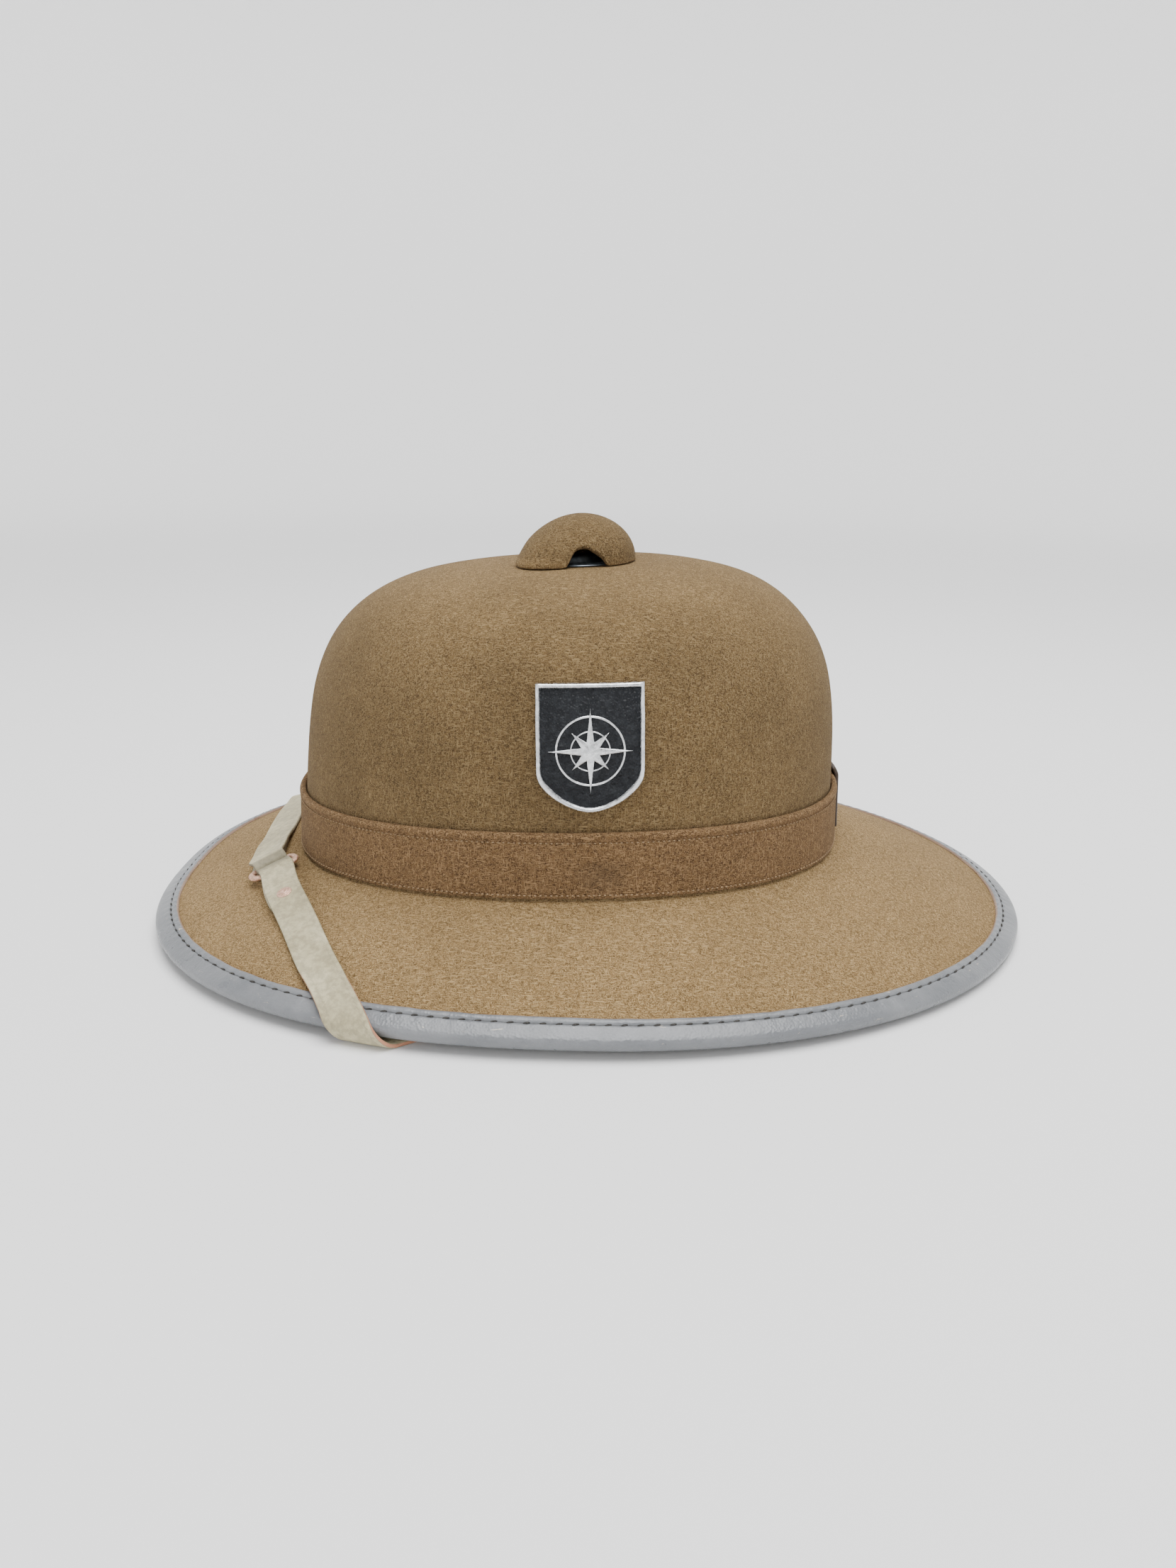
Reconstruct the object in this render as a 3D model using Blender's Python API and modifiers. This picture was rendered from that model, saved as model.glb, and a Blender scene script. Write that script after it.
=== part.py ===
"""A felt pith helmet, front towards -X, standing on its rim at z = 0. All lengths are in metres."""

import math

import bmesh
import bpy
from mathutils import Matrix, Vector

# Felt shell
BRIM_LENGTH = 0.3420
BRIM_WIDTH = 0.2726
BRIM_ROUNDNESS_FRONT = 2.34
BRIM_ROUNDNESS_REAR = 2.05
BRIM_BULGE = 0.0015
RIM_FRONT_LIFT = 0.0020
RIM_SIDE_LIFT = 0.00182
HEAD_LENGTH = 0.2109
HEAD_WIDTH = 0.1704
HEAD_ROUNDNESS = 2.15
HEAD_OFFSET = -0.0098
HEAD_FOOT_HEIGHT = 0.0301
FOOT_REAR_LIFT = 0.0037
FOOT_SIDE_LIFT = 0.0046
CROWN_HEIGHT = 0.1370
CROWN_TOP_SHIFT = 0.0025
CROWN_TOP_TILT = 0.0388
CROWN_SIDE_FULLNESS = 3.36
CROWN_TOP_FULLNESS = 3.75
CROWN_TAPER = 0.05
FELT = 0.0030

# Band, binding and rear tab
BAND_HEIGHT = 0.0238
BAND_THICKNESS = 0.0020
BAND_TAPER = 0.01
TAB_WIDTH = 0.0120
TAB_THICKNESS = 0.0016
TAB_OVERHANG = 0.0030
TAB_LIFT = 0.0014
BINDING_DEPTH = 0.0085
BINDING_LEATHER = 0.0010
BINDING_FLATTENING = 0.0007
BINDING_FULLNESS = 2.6

# Vent at the top, shifted a little from the middle of the crown
VENT_SHIFT_X = 0.0007
VENT_Y = -0.0040
VENT_HOLE_RADIUS = 0.0142
RING_FLANGE = 0.0039
RING_METAL = 0.0008
RING_PROUD = 0.0030
CAP_CLEARANCE = 0.0008
CAP_FELT = 0.0022
CAP_LEAN = 0.0074
CAP_HEIGHT = 0.0181
CAP_FULLNESS = 1.92
CAP_FOOT = 0.0015
ARCH_WIDTH = 0.0130
ARCH_HEIGHT = 0.0075
ARCH_TURN = math.radians(-83)

# Shield badge: its place is a shift from the head's centre and a share of the height over the band
BADGE_SHIFT = 0.0079
BADGE_PLACE = 0.358
BADGE_WIDTH = 0.0360
BADGE_HEIGHT = 0.0426
BADGE_TILT = math.radians(1.3)
BADGE_SHOULDER = 0.42
BADGE_FULLNESS = 1.60
BADGE_PLATE = 0.0012
BADGE_RIM_WIDTH = 0.0013
BADGE_RIM_RAISE = 0.0009
BADGE_RIM_FOOT = 0.0004
BADGE_STAR_RADIUS = 0.0142
BADGE_STAR_RAISE = 0.0014
BADGE_GAP = 0.0004

# Chin strap: angles run round the brim from the rear, shares from the crown (0) to the rim (1)
STRAP_WIDTH = 0.0129
STRAP_LEATHER = 0.0016
STRAP_GAP = 0.0004
STRAP_RETURN = 0.0240
STRAP_RAMP = 0.0120
WRAP_RUN = 0.0090
BUCKLE_ANGLE = math.radians(204.6)
BUCKLE_SHARE = 0.253
BUCKLE_TURN = math.radians(32)
BUCKLE_WIRE = 0.0018
BUCKLE_CLEARANCE = 0.0012
BUCKLE_CORNER = 0.0022
RIVET_INSET = 0.0060
RIVET_RADIUS = 0.0028
RIVET_HEIGHT = 0.0010

# Where the strap's ends are riveted inside the crown, and how it comes to them
ANCHOR_ANGLE = math.radians(70)
ANCHOR_SHARE = 0.315
ANCHOR_RADIUS = 0.0045
ANCHOR_RAISE = 0.0014
ANCHOR_SLACK = 0.0011
ANCHOR_APPROACH = 0.0220
ANCHOR_STANDOFF = 0.0040
ANCHOR_BELOW = 0.0100
ANCHOR_TAIL = 0.0080
HANG_RUN = 0.0120
HANG_SAG = 0.0020

# Clearance between neighbouring pieces
GAP = 0.0003

# The strap's route on the brim by angle in degrees and share, where it crosses the rim, and its skew there
LOWER_ROUTE = [(215.6, 0.319), (226.0, 0.444), (235.0, 0.630)]
LOWER_CROSSING = math.radians(247.6)
LOWER_SKEW = math.radians(42.4)
UPPER_ROUTE = [(189.9, 0.226), (178.2, 0.248), (166.0, 0.355), (153.2, 0.600)]
UPPER_CROSSING = math.radians(140.0)
UPPER_SKEW = math.radians(-37.4)

# How far the cap leans outward at its foot, as a share of CAP_LEAN, by compass turn from the rear
CAP_LEANING = [(0, 0.0), (90, 0.07), (180, 0.30), (225, 1.0), (270, 0.02), (315, 0.0), (360, 0.0)]

VENT_X = HEAD_OFFSET + CROWN_TOP_SHIFT + VENT_SHIFT_X
FLANGE_RADIUS = VENT_HOLE_RADIUS + RING_FLANGE
CAP_RADIUS = FLANGE_RADIUS + CAP_CLEARANCE + CAP_FELT
BAR_INSIDE = BUCKLE_WIRE / 2 + GAP
BAR_HALF_SPACING = BAR_INSIDE + STRAP_LEATHER + GAP / 2
BAR_HEIGHT = STRAP_GAP + STRAP_LEATHER + BAR_INSIDE
SIDES = 64
ANGLES = [2 * math.pi * i / SIDES for i in range(SIDES)]
NUDGE = 0.001
BISECTIONS = 40
ROUNDS = 12
UP = Vector((0, 0, 1))

MATERIALS = {
    "crown_felt": ((0.250, 0.175, 0.100), 0.95, 0.0),
    "band_felt": ((0.170, 0.105, 0.055), 0.95, 0.0),
    "grey_leather": ((0.320, 0.325, 0.330), 0.50, 0.0),
    "khaki_leather": ((0.450, 0.410, 0.320), 0.60, 0.0),
    "brown_leather": ((0.040, 0.026, 0.018), 0.55, 0.0),
    "copper_wire": ((0.560, 0.330, 0.240), 0.45, 0.9),
    "cast_metal": ((0.560, 0.570, 0.580), 0.35, 1.0),
    "zinc": ((0.250, 0.280, 0.300), 0.45, 0.9),
}


def clear_scene():
    for obj in list(bpy.data.objects):
        bpy.data.objects.remove(obj, do_unlink=True)


def make_collection(name):
    collection = bpy.data.collections.new(name)
    bpy.context.scene.collection.children.link(collection)
    return collection


def make_material(name):
    colour, roughness, metallic = MATERIALS[name]
    material = bpy.data.materials.get(name) or bpy.data.materials.new(name)
    material.use_nodes = True
    shader = material.node_tree.nodes["Principled BSDF"]
    shader.inputs["Base Color"].default_value = (*colour, 1.0)
    shader.inputs["Roughness"].default_value = roughness
    shader.inputs["Metallic"].default_value = metallic
    return material


def add_object(name, mesh, material, collection):
    obj = bpy.data.objects.new(name, mesh)
    obj.data.materials.append(make_material(material))
    obj.data.shade_smooth()
    obj.data.set_sharp_from_angle(angle=math.radians(35))
    collection.objects.link(obj)
    return obj


def loft(rings, ring_closed=True, loft_closed=False, cap_ends=False):
    """A mesh through rings of equally many points, joined in order."""
    bm = bmesh.new()
    rows = [[bm.verts.new(p) for p in ring] for ring in rings]
    count = len(rows[0])
    pairs = list(zip(rows, rows[1:])) + ([(rows[-1], rows[0])] if loft_closed else [])
    steps = range(count if ring_closed else count - 1)
    for low, high in pairs:
        for j in steps:
            k = (j + 1) % count
            bm.faces.new((low[j], low[k], high[k], high[j]))
    if cap_ends:
        bm.faces.new(rows[0])
        bm.faces.new(rows[-1])
    if loft_closed or cap_ends:
        bmesh.ops.recalc_face_normals(bm, faces=bm.faces)
    mesh = bpy.data.meshes.new("loft")
    bm.to_mesh(mesh)
    bm.free()
    return mesh


def solidify(obj, thickness, offset):
    wall = obj.modifiers.new("wall", "SOLIDIFY")
    wall.thickness = thickness
    wall.offset = offset
    wall.use_even_offset = True
    wall.use_quality_normals = True
    return wall


def rounded(value, exponent):
    return math.copysign(abs(value) ** (2 / exponent), value)


def brim_edge(angle):
    """Top edge of the felt at the rim."""
    c, s = math.cos(angle), math.sin(angle)
    n = BRIM_ROUNDNESS_REAR if c > 0 else BRIM_ROUNDNESS_FRONT
    rise = RIM_FRONT_LIFT * (1 - c) / 2 + RIM_SIDE_LIFT * (1 - math.cos(2 * angle)) / 2
    height = FELT + GAP + BINDING_LEATHER - BINDING_FLATTENING + rise
    return Vector((BRIM_LENGTH / 2 * rounded(c, n), BRIM_WIDTH / 2 * rounded(s, n), height))


def head_line(angle, share):
    """Outside of the crown behind the band: share 0 at the brim, 1 at the top of the band."""
    c, s = math.cos(angle), math.sin(angle)
    size = 1 - BAND_TAPER * share
    foot = HEAD_FOOT_HEIGHT + FOOT_REAR_LIFT * c / 2 - FOOT_SIDE_LIFT * math.cos(2 * angle) / 2
    return Vector((HEAD_OFFSET + HEAD_LENGTH / 2 * rounded(c, HEAD_ROUNDNESS) * size,
                   HEAD_WIDTH / 2 * rounded(s, HEAD_ROUNDNESS) * size,
                   foot + BAND_HEIGHT * share))


def brim_point(angle, share):
    """Top of the brim: share 0 at the crown, 1 at the rim."""
    point = head_line(angle, 0).lerp(brim_edge(angle), share)
    point.z += BRIM_BULGE * 4 * share * (1 - share)
    return point


def binding_share(angle):
    """Where the inner edge of the binding lies on the brim."""
    return 1 - BINDING_DEPTH / (brim_edge(angle) - head_line(angle, 0)).length


def cap_radius(angle):
    """Radius of the vent cap at its foot."""
    degrees = math.degrees(angle) % 360
    span = max(i for i, row in enumerate(CAP_LEANING[:-1]) if row[0] <= degrees)
    (before, low), (after, high) = CAP_LEANING[span:span + 2]
    share = (degrees - before) / (after - before)
    share = share * share * (3 - 2 * share)
    return CAP_RADIUS + CAP_LEAN * (low * (1 - share) + high * share)


# Share of the crown's width that is flat, so that the cap sits on it
SEAT_SHARE = (cap_radius(math.radians(270)) - VENT_Y) / (HEAD_WIDTH / 2)


def crown_spread(turn):
    """Width and height shares of the crown at a turn from 0 at the band to a quarter at the pole."""
    height = math.sin(turn) ** (2 / CROWN_TOP_FULLNESS)
    width = math.cos(turn) ** (2 / CROWN_SIDE_FULLNESS) * (1 - CROWN_TAPER * height)
    return width, height


def crown_point(angle, turn):
    width, height = crown_spread(turn)
    foot = head_line(angle, 1)
    x = HEAD_OFFSET + CROWN_TOP_SHIFT * height + (foot.x - HEAD_OFFSET) * width
    tilt = CROWN_TOP_TILT * (x - VENT_X) * min(1, (1 - width) / (1 - SEAT_SHARE))
    return Vector((x, foot.y * width, foot.z + (CROWN_HEIGHT - foot.z) * height + tilt * height))


def seat_turn():
    """The turn of the crown's curve at the edge of the flat seat of the vent."""
    low, high = 0.0, math.pi / 2
    for _ in range(BISECTIONS):
        middle = (low + high) / 2
        if crown_spread(middle)[0] > SEAT_SHARE:
            low = middle
        else:
            high = middle
    return low


SEAT_TURN = seat_turn()


def vent_seat(x):
    """Height of the flat top of the crown over a place on the floor."""
    rear, front = crown_point(0, SEAT_TURN), crown_point(math.pi, SEAT_TURN)
    return front.z + (rear.z - front.z) / (rear.x - front.x) * (x - front.x)


def make_shell(parts):
    rings = [[brim_point(a, 1) for a in ANGLES]]
    rings += [[brim_point(a, binding_share(a) * step / 3) for a in ANGLES] for step in (3, 2, 1)]
    rings += [[head_line(a, share) for a in ANGLES] for share in (0, 1)]
    for share in (0.14, 0.28, 0.42, 0.56, 0.69, 0.81, 0.91, 1.0):
        rings.append([crown_point(a, SEAT_TURN * share) for a in ANGLES])
    hole = []
    for a in ANGLES:
        x = VENT_X + VENT_HOLE_RADIUS * math.cos(a)
        y = VENT_Y + VENT_HOLE_RADIUS * math.sin(a)
        hole.append(Vector((x, y, vent_seat(x))))
    rings.append(hole)
    shell = add_object("shell", loft(rings), "crown_felt", parts)
    solidify(shell, FELT, -1)


def make_band(parts):
    """The felt band stands clear of the crown and just above the brim."""
    rings = []
    for share, lift in ((0, 2 * GAP), (1, 0)):
        ring = []
        for a in ANGLES:
            along = head_line(a + NUDGE, share) - head_line(a - NUDGE, share)
            ring.append(head_line(a, share) + along.cross(UP).normalized() * GAP + UP * lift)
        rings.append(ring)
    band = add_object("hat_band", loft(rings), "band_felt", parts)
    solidify(band, BAND_THICKNESS, 1)


def make_rear_tab(parts):
    """A leather strip over the joint of the band, at the rear."""
    steps = 6
    rings = []
    back = GAP + BAND_THICKNESS + GAP
    for rise in (TAB_LIFT, BAND_HEIGHT / 2, BAND_HEIGHT, BAND_HEIGHT + TAB_OVERHANG):
        inner, outer = [], []
        for i in range(steps + 1):
            y = TAB_WIDTH * (i / steps - 0.5)
            line = head_line(y / (HEAD_WIDTH / 2), rise / BAND_HEIGHT)
            inner.append(Vector((line.x + back, y, line.z)))
            outer.append(Vector((line.x + back + TAB_THICKNESS, y, line.z)))
        rings.append(inner + outer[::-1])
    add_object("rear_tab", loft(rings, cap_ends=True), "brown_leather", parts)


def make_binding(parts):
    """Leather folded over the rim: a closed U-shaped section carried round."""
    skin = GAP + BINDING_LEATHER
    radius = FELT / 2 + skin
    steps = 12
    outline = [(BINDING_DEPTH, skin)]
    for i in range(steps + 1):
        turn = math.pi / 2 - math.pi * i / steps
        outline.append((radius - skin - radius * rounded(math.cos(turn), BINDING_FULLNESS),
                        -FELT / 2 + radius * rounded(math.sin(turn), BINDING_FULLNESS)))
    outline += [(BINDING_DEPTH, -FELT - skin), (BINDING_DEPTH, -FELT - GAP), (-GAP, -FELT - GAP),
                (-GAP, GAP), (BINDING_DEPTH, GAP)]
    rings = []
    for a in ANGLES:
        edge = brim_edge(a)
        inward = (brim_point(a, binding_share(a)) - edge).normalized()
        along = brim_edge(a + NUDGE) - brim_edge(a - NUDGE)
        normal = along.cross(inward).normalized()
        section = [edge + inward * x + normal * z for x, z in outline]
        rings.append([Vector((p.x, p.y, max(p.z, 0.0))) for p in section])
    add_object("brim_binding", loft(rings, loft_closed=True), "grey_leather", parts)


def make_vent_cap(parts, cutters):
    """A hollow felt dome with an arched opening on the near side."""
    angles = ANGLES[::2]
    levels = [(1.0, 0.0, 0.0)]
    for degrees in (0, 14, 28, 42, 56, 70, 80):
        turn = math.radians(degrees)
        high = rounded(math.sin(turn), CAP_FULLNESS)
        levels.append((rounded(math.cos(turn), CAP_FULLNESS), high,
                       CAP_FOOT + (CAP_HEIGHT - GAP - CAP_FOOT) * high))
    rings = []
    for wide, high, rise in levels:
        ring = []
        for a in angles:
            reach = (CAP_RADIUS + (cap_radius(a) - CAP_RADIUS) * (1 - high)) * wide
            x, y = VENT_X + reach * math.cos(a), VENT_Y + reach * math.sin(a)
            foot = vent_seat(VENT_X + cap_radius(a) * math.cos(a)) * (1 - high) + vent_seat(x) * high
            ring.append(Vector((x, y, foot + GAP + rise)))
        rings.append(ring)
    mesh = loft(rings)
    bm = bmesh.new()
    bm.from_mesh(mesh)
    bm.verts.ensure_lookup_table()
    bm.faces.new([bm.verts[len(bm.verts) - len(angles) + i] for i in range(len(angles))])
    bmesh.ops.triangulate(bm, faces=[f for f in bm.faces if len(f.verts) > 4])
    bm.to_mesh(mesh)
    bm.free()
    cap = add_object("vent_cap", mesh, "crown_felt", parts)
    solidify(cap, CAP_FELT, -1)

    bm = bmesh.new()
    reach = 2 * (CAP_RADIUS + CAP_LEAN)
    bmesh.ops.create_cone(bm, cap_ends=True, segments=16, radius1=ARCH_WIDTH / 2, radius2=ARCH_WIDTH / 2,
                          depth=reach)
    stretch = 2 * ARCH_HEIGHT / ARCH_WIDTH
    place = (Matrix.Translation((VENT_X, VENT_Y, vent_seat(VENT_X)))
             @ Matrix.Rotation(ARCH_TURN, 4, "Z") @ Matrix.Translation((reach / 2, 0, 0))
             @ Matrix.Rotation(math.pi / 2, 4, "Y") @ Matrix.Diagonal((stretch, 1, 1, 1)))
    bm.transform(place)
    mesh = bpy.data.meshes.new("arch")
    bm.to_mesh(mesh)
    bm.free()
    arch = bpy.data.objects.new("vent_arch", mesh)
    arch.display_type = "WIRE"
    arch.hide_render = True
    cutters.objects.link(arch)
    cut = cap.modifiers.new("arch", "BOOLEAN")
    cut.operation = "DIFFERENCE"
    cut.object = arch


def make_vent_ring(parts):
    """Metal eyelet: a flange on the crown and a short barrel down through the hole."""
    barrel = VENT_HOLE_RADIUS - GAP
    depth = FELT + RING_PROUD
    profile = [(barrel - RING_METAL, GAP + RING_METAL), (FLANGE_RADIUS, GAP + RING_METAL),
               (FLANGE_RADIUS, GAP), (barrel, GAP), (barrel, -depth), (barrel - RING_METAL, -depth)]
    rings = []
    for a in ANGLES[::2]:
        ring = []
        for r, z in profile:
            x, y = VENT_X + r * math.cos(a), VENT_Y + r * math.sin(a)
            ring.append(Vector((x, y, vent_seat(x) + z)))
        rings.append(ring)
    add_object("vent_ring", loft(rings, loft_closed=True), "zinc", parts)


def crown_side(x, z):
    """Y of the crown's outside on the near side, at a given x and height."""
    angle, turn = math.radians(270), 0.0
    for _ in range(ROUNDS):
        low, high = 0.0, SEAT_TURN
        for _ in range(BISECTIONS // 2):
            turn = (low + high) / 2
            low, high = (turn, high) if crown_point(angle, turn).z < z else (low, turn)
        front, rear = math.pi, 2 * math.pi
        for _ in range(BISECTIONS // 2):
            angle = (front + rear) / 2
            front, rear = (angle, rear) if crown_point(angle, turn).x < x else (front, angle)
    return crown_point(angle, turn).y


def shield_reach(angle):
    """Distance from the badge's centre to its outline, in its own plane."""
    half, top = BADGE_WIDTH / 2, BADGE_HEIGHT / 2
    shoulder = -BADGE_SHOULDER * top
    c, s = math.cos(angle), math.sin(angle)
    low, high = 0.0, BADGE_HEIGHT
    for _ in range(BISECTIONS):
        r = (low + high) / 2
        u, v = abs(r * c), r * s
        depth = (1 - min(1.0, u / half) ** BADGE_FULLNESS) ** (1 / BADGE_FULLNESS)
        inside = u < half and shoulder - (top + shoulder) * depth < v < top
        low, high = (r, high) if inside else (low, r)
    return low


# Corners of the star over a quarter turn, as shares of its radius: a long point, a notch, a short point
STAR_CORNERS = (1.0, 0.30, 0.62, 0.30)


def star_reach(angle):
    """Distance from the badge's centre to the edge of the eight-pointed compass star."""
    step = math.pi / 8
    k = math.floor(angle / step)
    r0, r1 = (BADGE_STAR_RADIUS * STAR_CORNERS[(k + i) % 4] for i in (0, 1))
    turn = angle - k * step
    return r0 * r1 * math.sin(step) / (r0 * math.sin(turn) + r1 * math.sin(step - turn))


def make_badge(parts):
    """A cast shield bent to the crown: a raised rim, a sunk field and a faceted compass star."""
    corner = math.atan2(BADGE_HEIGHT / 2, BADGE_WIDTH / 2)
    angles = sorted([math.pi * i / 16 for i in range(32)] + [corner, math.pi - corner])
    field, rim = BADGE_PLATE, BADGE_PLATE + BADGE_RIM_RAISE
    levels = [(shield_reach, 0.0, 0.45, 0), (shield_reach, 0.0, 1, 0), (shield_reach, rim, 1, 0),
              (shield_reach, rim, 1, BADGE_RIM_WIDTH),
              (shield_reach, field, 1, BADGE_RIM_WIDTH + BADGE_RIM_FOOT), (star_reach, field, 1, 0),
              (star_reach, field + BADGE_STAR_RAISE * 0.35, 0.93, 0),
              (star_reach, field + BADGE_STAR_RAISE * 0.75, 0.45, 0)]
    middle_x = HEAD_OFFSET + BADGE_SHIFT
    foot = head_line(math.radians(270), 1).z
    middle_z = foot + (CROWN_HEIGHT - foot) * BADGE_PLACE
    cos_tilt, sin_tilt = math.cos(BADGE_TILT), math.sin(BADGE_TILT)

    def place(u, v, depth):
        x = middle_x + u * cos_tilt - v * sin_tilt
        z = middle_z + u * sin_tilt + v * cos_tilt
        return Vector((x, crown_side(x, z) - BADGE_GAP - depth, z))

    bm = bmesh.new()
    rows = []
    for outline, depth, share, inset in levels:
        row = []
        for a in angles:
            reach = outline(a) * share - inset
            row.append(bm.verts.new(place(reach * math.cos(a), reach * math.sin(a), depth)))
        rows.append(row)
    for low, high in zip(rows, rows[1:]):
        for j in range(len(angles)):
            k = (j + 1) % len(angles)
            bm.faces.new((low[j], low[k], high[k], high[j]))
    for row, depth in ((rows[0], 0.0), (rows[-1], field + BADGE_STAR_RAISE)):
        pole = bm.verts.new(place(0, 0, depth))
        for j in range(len(angles)):
            bm.faces.new((row[j], row[(j + 1) % len(angles)], pole))
    bmesh.ops.recalc_face_normals(bm, faces=bm.faces)
    mesh = bpy.data.meshes.new("badge")
    bm.to_mesh(mesh)
    bm.free()
    add_object("shield_badge", mesh, "cast_metal", parts)


def brim_height(x, y):
    """Height of the brim's top over a place on the floor."""
    angle = math.atan2(y / BRIM_WIDTH, (x - HEAD_OFFSET / 2) / BRIM_LENGTH)
    share = 0.5
    for _ in range(ROUNDS):
        here = brim_point(angle, share)
        turn = (brim_point(angle + NUDGE, share) - here) / NUDGE
        move = (brim_point(angle, share + NUDGE) - here) / NUDGE
        dx, dy = x - here.x, y - here.y
        area = turn.x * move.y - turn.y * move.x
        angle += (dx * move.y - dy * move.x) / area
        share += (turn.x * dy - turn.y * dx) / area
    return brim_point(angle, share).z


def brim_normal(x, y):
    slope_x = (brim_height(x + NUDGE, y) - brim_height(x - NUDGE, y)) / (2 * NUDGE)
    slope_y = (brim_height(x, y + NUDGE) - brim_height(x, y - NUDGE)) / (2 * NUDGE)
    return Vector((-slope_x, -slope_y, 1)).normalized()


def on_brim(centre, half, normal, lift):
    """A row across a strap whose two ends are lifted from the brim alike: its centre and half width."""
    ends = []
    for sign in (-1, 1):
        place = centre + half * sign
        ends.append(Vector((place.x, place.y, brim_height(place.x, place.y))) + normal * lift)
    return (ends[0] + ends[1]) / 2, (ends[1] - ends[0]) / 2


def along_brim(direction, normal):
    """A floor direction tipped so that it follows the brim's slope."""
    return Vector((direction.x, direction.y, -(direction.x * normal.x + direction.y * normal.y) / normal.z))


def buckle_frame():
    """Origin on the brim, and the directions of the bars, of the upper strap, and up."""
    origin = brim_point(BUCKLE_ANGLE, BUCKLE_SHARE)
    up = brim_normal(origin.x, origin.y)
    bar = Vector((math.cos(BUCKLE_TURN), math.sin(BUCKLE_TURN), 0))
    bar = (bar - up * bar.dot(up)).normalized()
    return origin, bar, up.cross(bar), up


def smooth_path(points, count):
    """Points read evenly from a Catmull-Rom curve through the given ones."""
    points = [2 * points[0] - points[1]] + points + [2 * points[-1] - points[-2]]
    spans = len(points) - 3
    result = []
    for i in range(count + 1):
        k = min(spans * i // count, spans - 1)
        f = spans * i / count - k
        p0, p1, p2, p3 = points[k:k + 4]
        result.append(0.5 * (2 * p1 + (p2 - p0) * f + (2 * p0 - 5 * p1 + 4 * p2 - p3) * f * f
                             + (3 * p1 - p0 - 3 * p2 + p3) * f ** 3))
    return result


def wrap_rows(angle, skew):
    """Rows of a strap folded round the rim, with its headings before and after."""
    edge = brim_edge(angle)
    ahead = brim_edge(angle + NUDGE) - edge
    tangent = Vector((ahead.x, ahead.y, 0)).normalized()
    out = tangent.cross(UP)
    inward = brim_point(angle, binding_share(angle)) - edge
    slope = math.atan2(inward.z, math.hypot(inward.x, inward.y))
    core = FELT / 2 + GAP + BINDING_LEATHER
    reach = core * math.sqrt(2) ** (1 - 2 / BINDING_FULLNESS) + 2 * GAP
    centre_out = -FELT / 2 * (math.cos(slope) + math.sin(slope))
    centre_up = edge.z + FELT / 2 * (math.sin(slope) - math.cos(slope))
    top = math.pi / 2 - slope
    profile = []
    for run in (WRAP_RUN, WRAP_RUN / 2):
        profile.append((centre_out + reach * math.cos(top) - run * math.cos(slope),
                        centre_up + reach * math.sin(top) + run * math.sin(slope), top))
    steps = 7
    for i in range(steps + 1):
        turn = top - (top + math.pi / 2) * i / steps
        drop = reach if turn >= 0 else centre_up - STRAP_LEATHER
        profile.append((centre_out + reach * math.cos(turn), centre_up + drop * math.sin(turn), turn))
    for run in (WRAP_RUN / 2, WRAP_RUN):
        profile.append((centre_out - run, STRAP_LEATHER, -math.pi / 2))
    runs = [0.0]
    for a, b in zip(profile, profile[1:]):
        runs.append(runs[-1] + math.hypot(b[0] - a[0], b[1] - a[1]))
    middle = runs[len(runs) // 2 - 1]
    half = tangent * (STRAP_WIDTH / 2 / math.cos(skew))
    rows = []
    for (outward, height, turn), run in zip(profile, runs):
        centre = Vector((edge.x, edge.y, 0)) + out * outward + UP * height
        centre += tangent * (run - middle) * math.tan(skew)
        rows.append((centre, half, out * math.cos(turn) + UP * math.sin(turn)))
    before = out * math.cos(skew) + tangent * math.sin(skew)
    after = tangent * math.sin(skew) - out * math.cos(skew)
    return rows, before, after


def laid_lift(run, total):
    """Lift of a laid strap: over the bar, over its own returned end, on the felt, then on the binding."""
    doubled = STRAP_GAP + STRAP_LEATHER + GAP
    stops = [(0.0, doubled + 2 * BAR_INSIDE - 2 * GAP), (STRAP_RAMP, doubled + 2 * GAP),
             (STRAP_RETURN, doubled), (STRAP_RETURN + STRAP_RAMP, STRAP_GAP), (total - STRAP_RAMP, STRAP_GAP),
             (total, GAP + BINDING_LEATHER + STRAP_GAP)]
    for (run_a, lift_a), (run_b, lift_b) in zip(stops, stops[1:]):
        if run <= run_b:
            break
    share = min(1, (run - run_a) / (run_b - run_a))
    return lift_a + (lift_b - lift_a) * share


def laid_rows(points, first_half, last_half, count):
    """Rows of a strap lying on the brim along floor places, each with its distance from the buckle."""
    path = smooth_path(points, count)
    runs = [0.0]
    for a, b in zip(path, path[1:]):
        runs.append(runs[-1] + (b - a).length)
    rows = []
    for i, (place, run) in enumerate(zip(path, runs)):
        normal = brim_normal(place.x, place.y)
        ahead = along_brim(path[min(i + 1, count)] - path[max(i - 1, 0)], normal)
        half = along_brim(first_half.lerp(last_half, i / count), normal)
        across = normal.cross(ahead).normalized()
        half *= STRAP_WIDTH / 2 / abs(half.dot(across))
        rows.append((*on_brim(place, half, normal, laid_lift(run, runs[-1])), normal))
    return rows, runs


def hanging_rows(points, normals, first_half, count):
    """Rows of a strap that runs free under the brim, squared to its path over the first third."""
    path = smooth_path(points, count)
    turned = smooth_path(normals, count)
    side = math.copysign(1, normals[0].cross(points[1] - points[0]).dot(first_half))
    rows = []
    for i, place in enumerate(path):
        ahead = (path[min(i + 1, count)] - path[max(i - 1, 0)]).normalized()
        normal = (turned[i] - ahead * turned[i].dot(ahead)).normalized()
        across = normal.cross(ahead) * side
        half = first_half.lerp(across * STRAP_WIDTH / 2, min(1, 3 * i / count))
        half *= STRAP_WIDTH / 2 / half.dot(across)
        rows.append((place, half, normal))
    return rows


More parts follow.
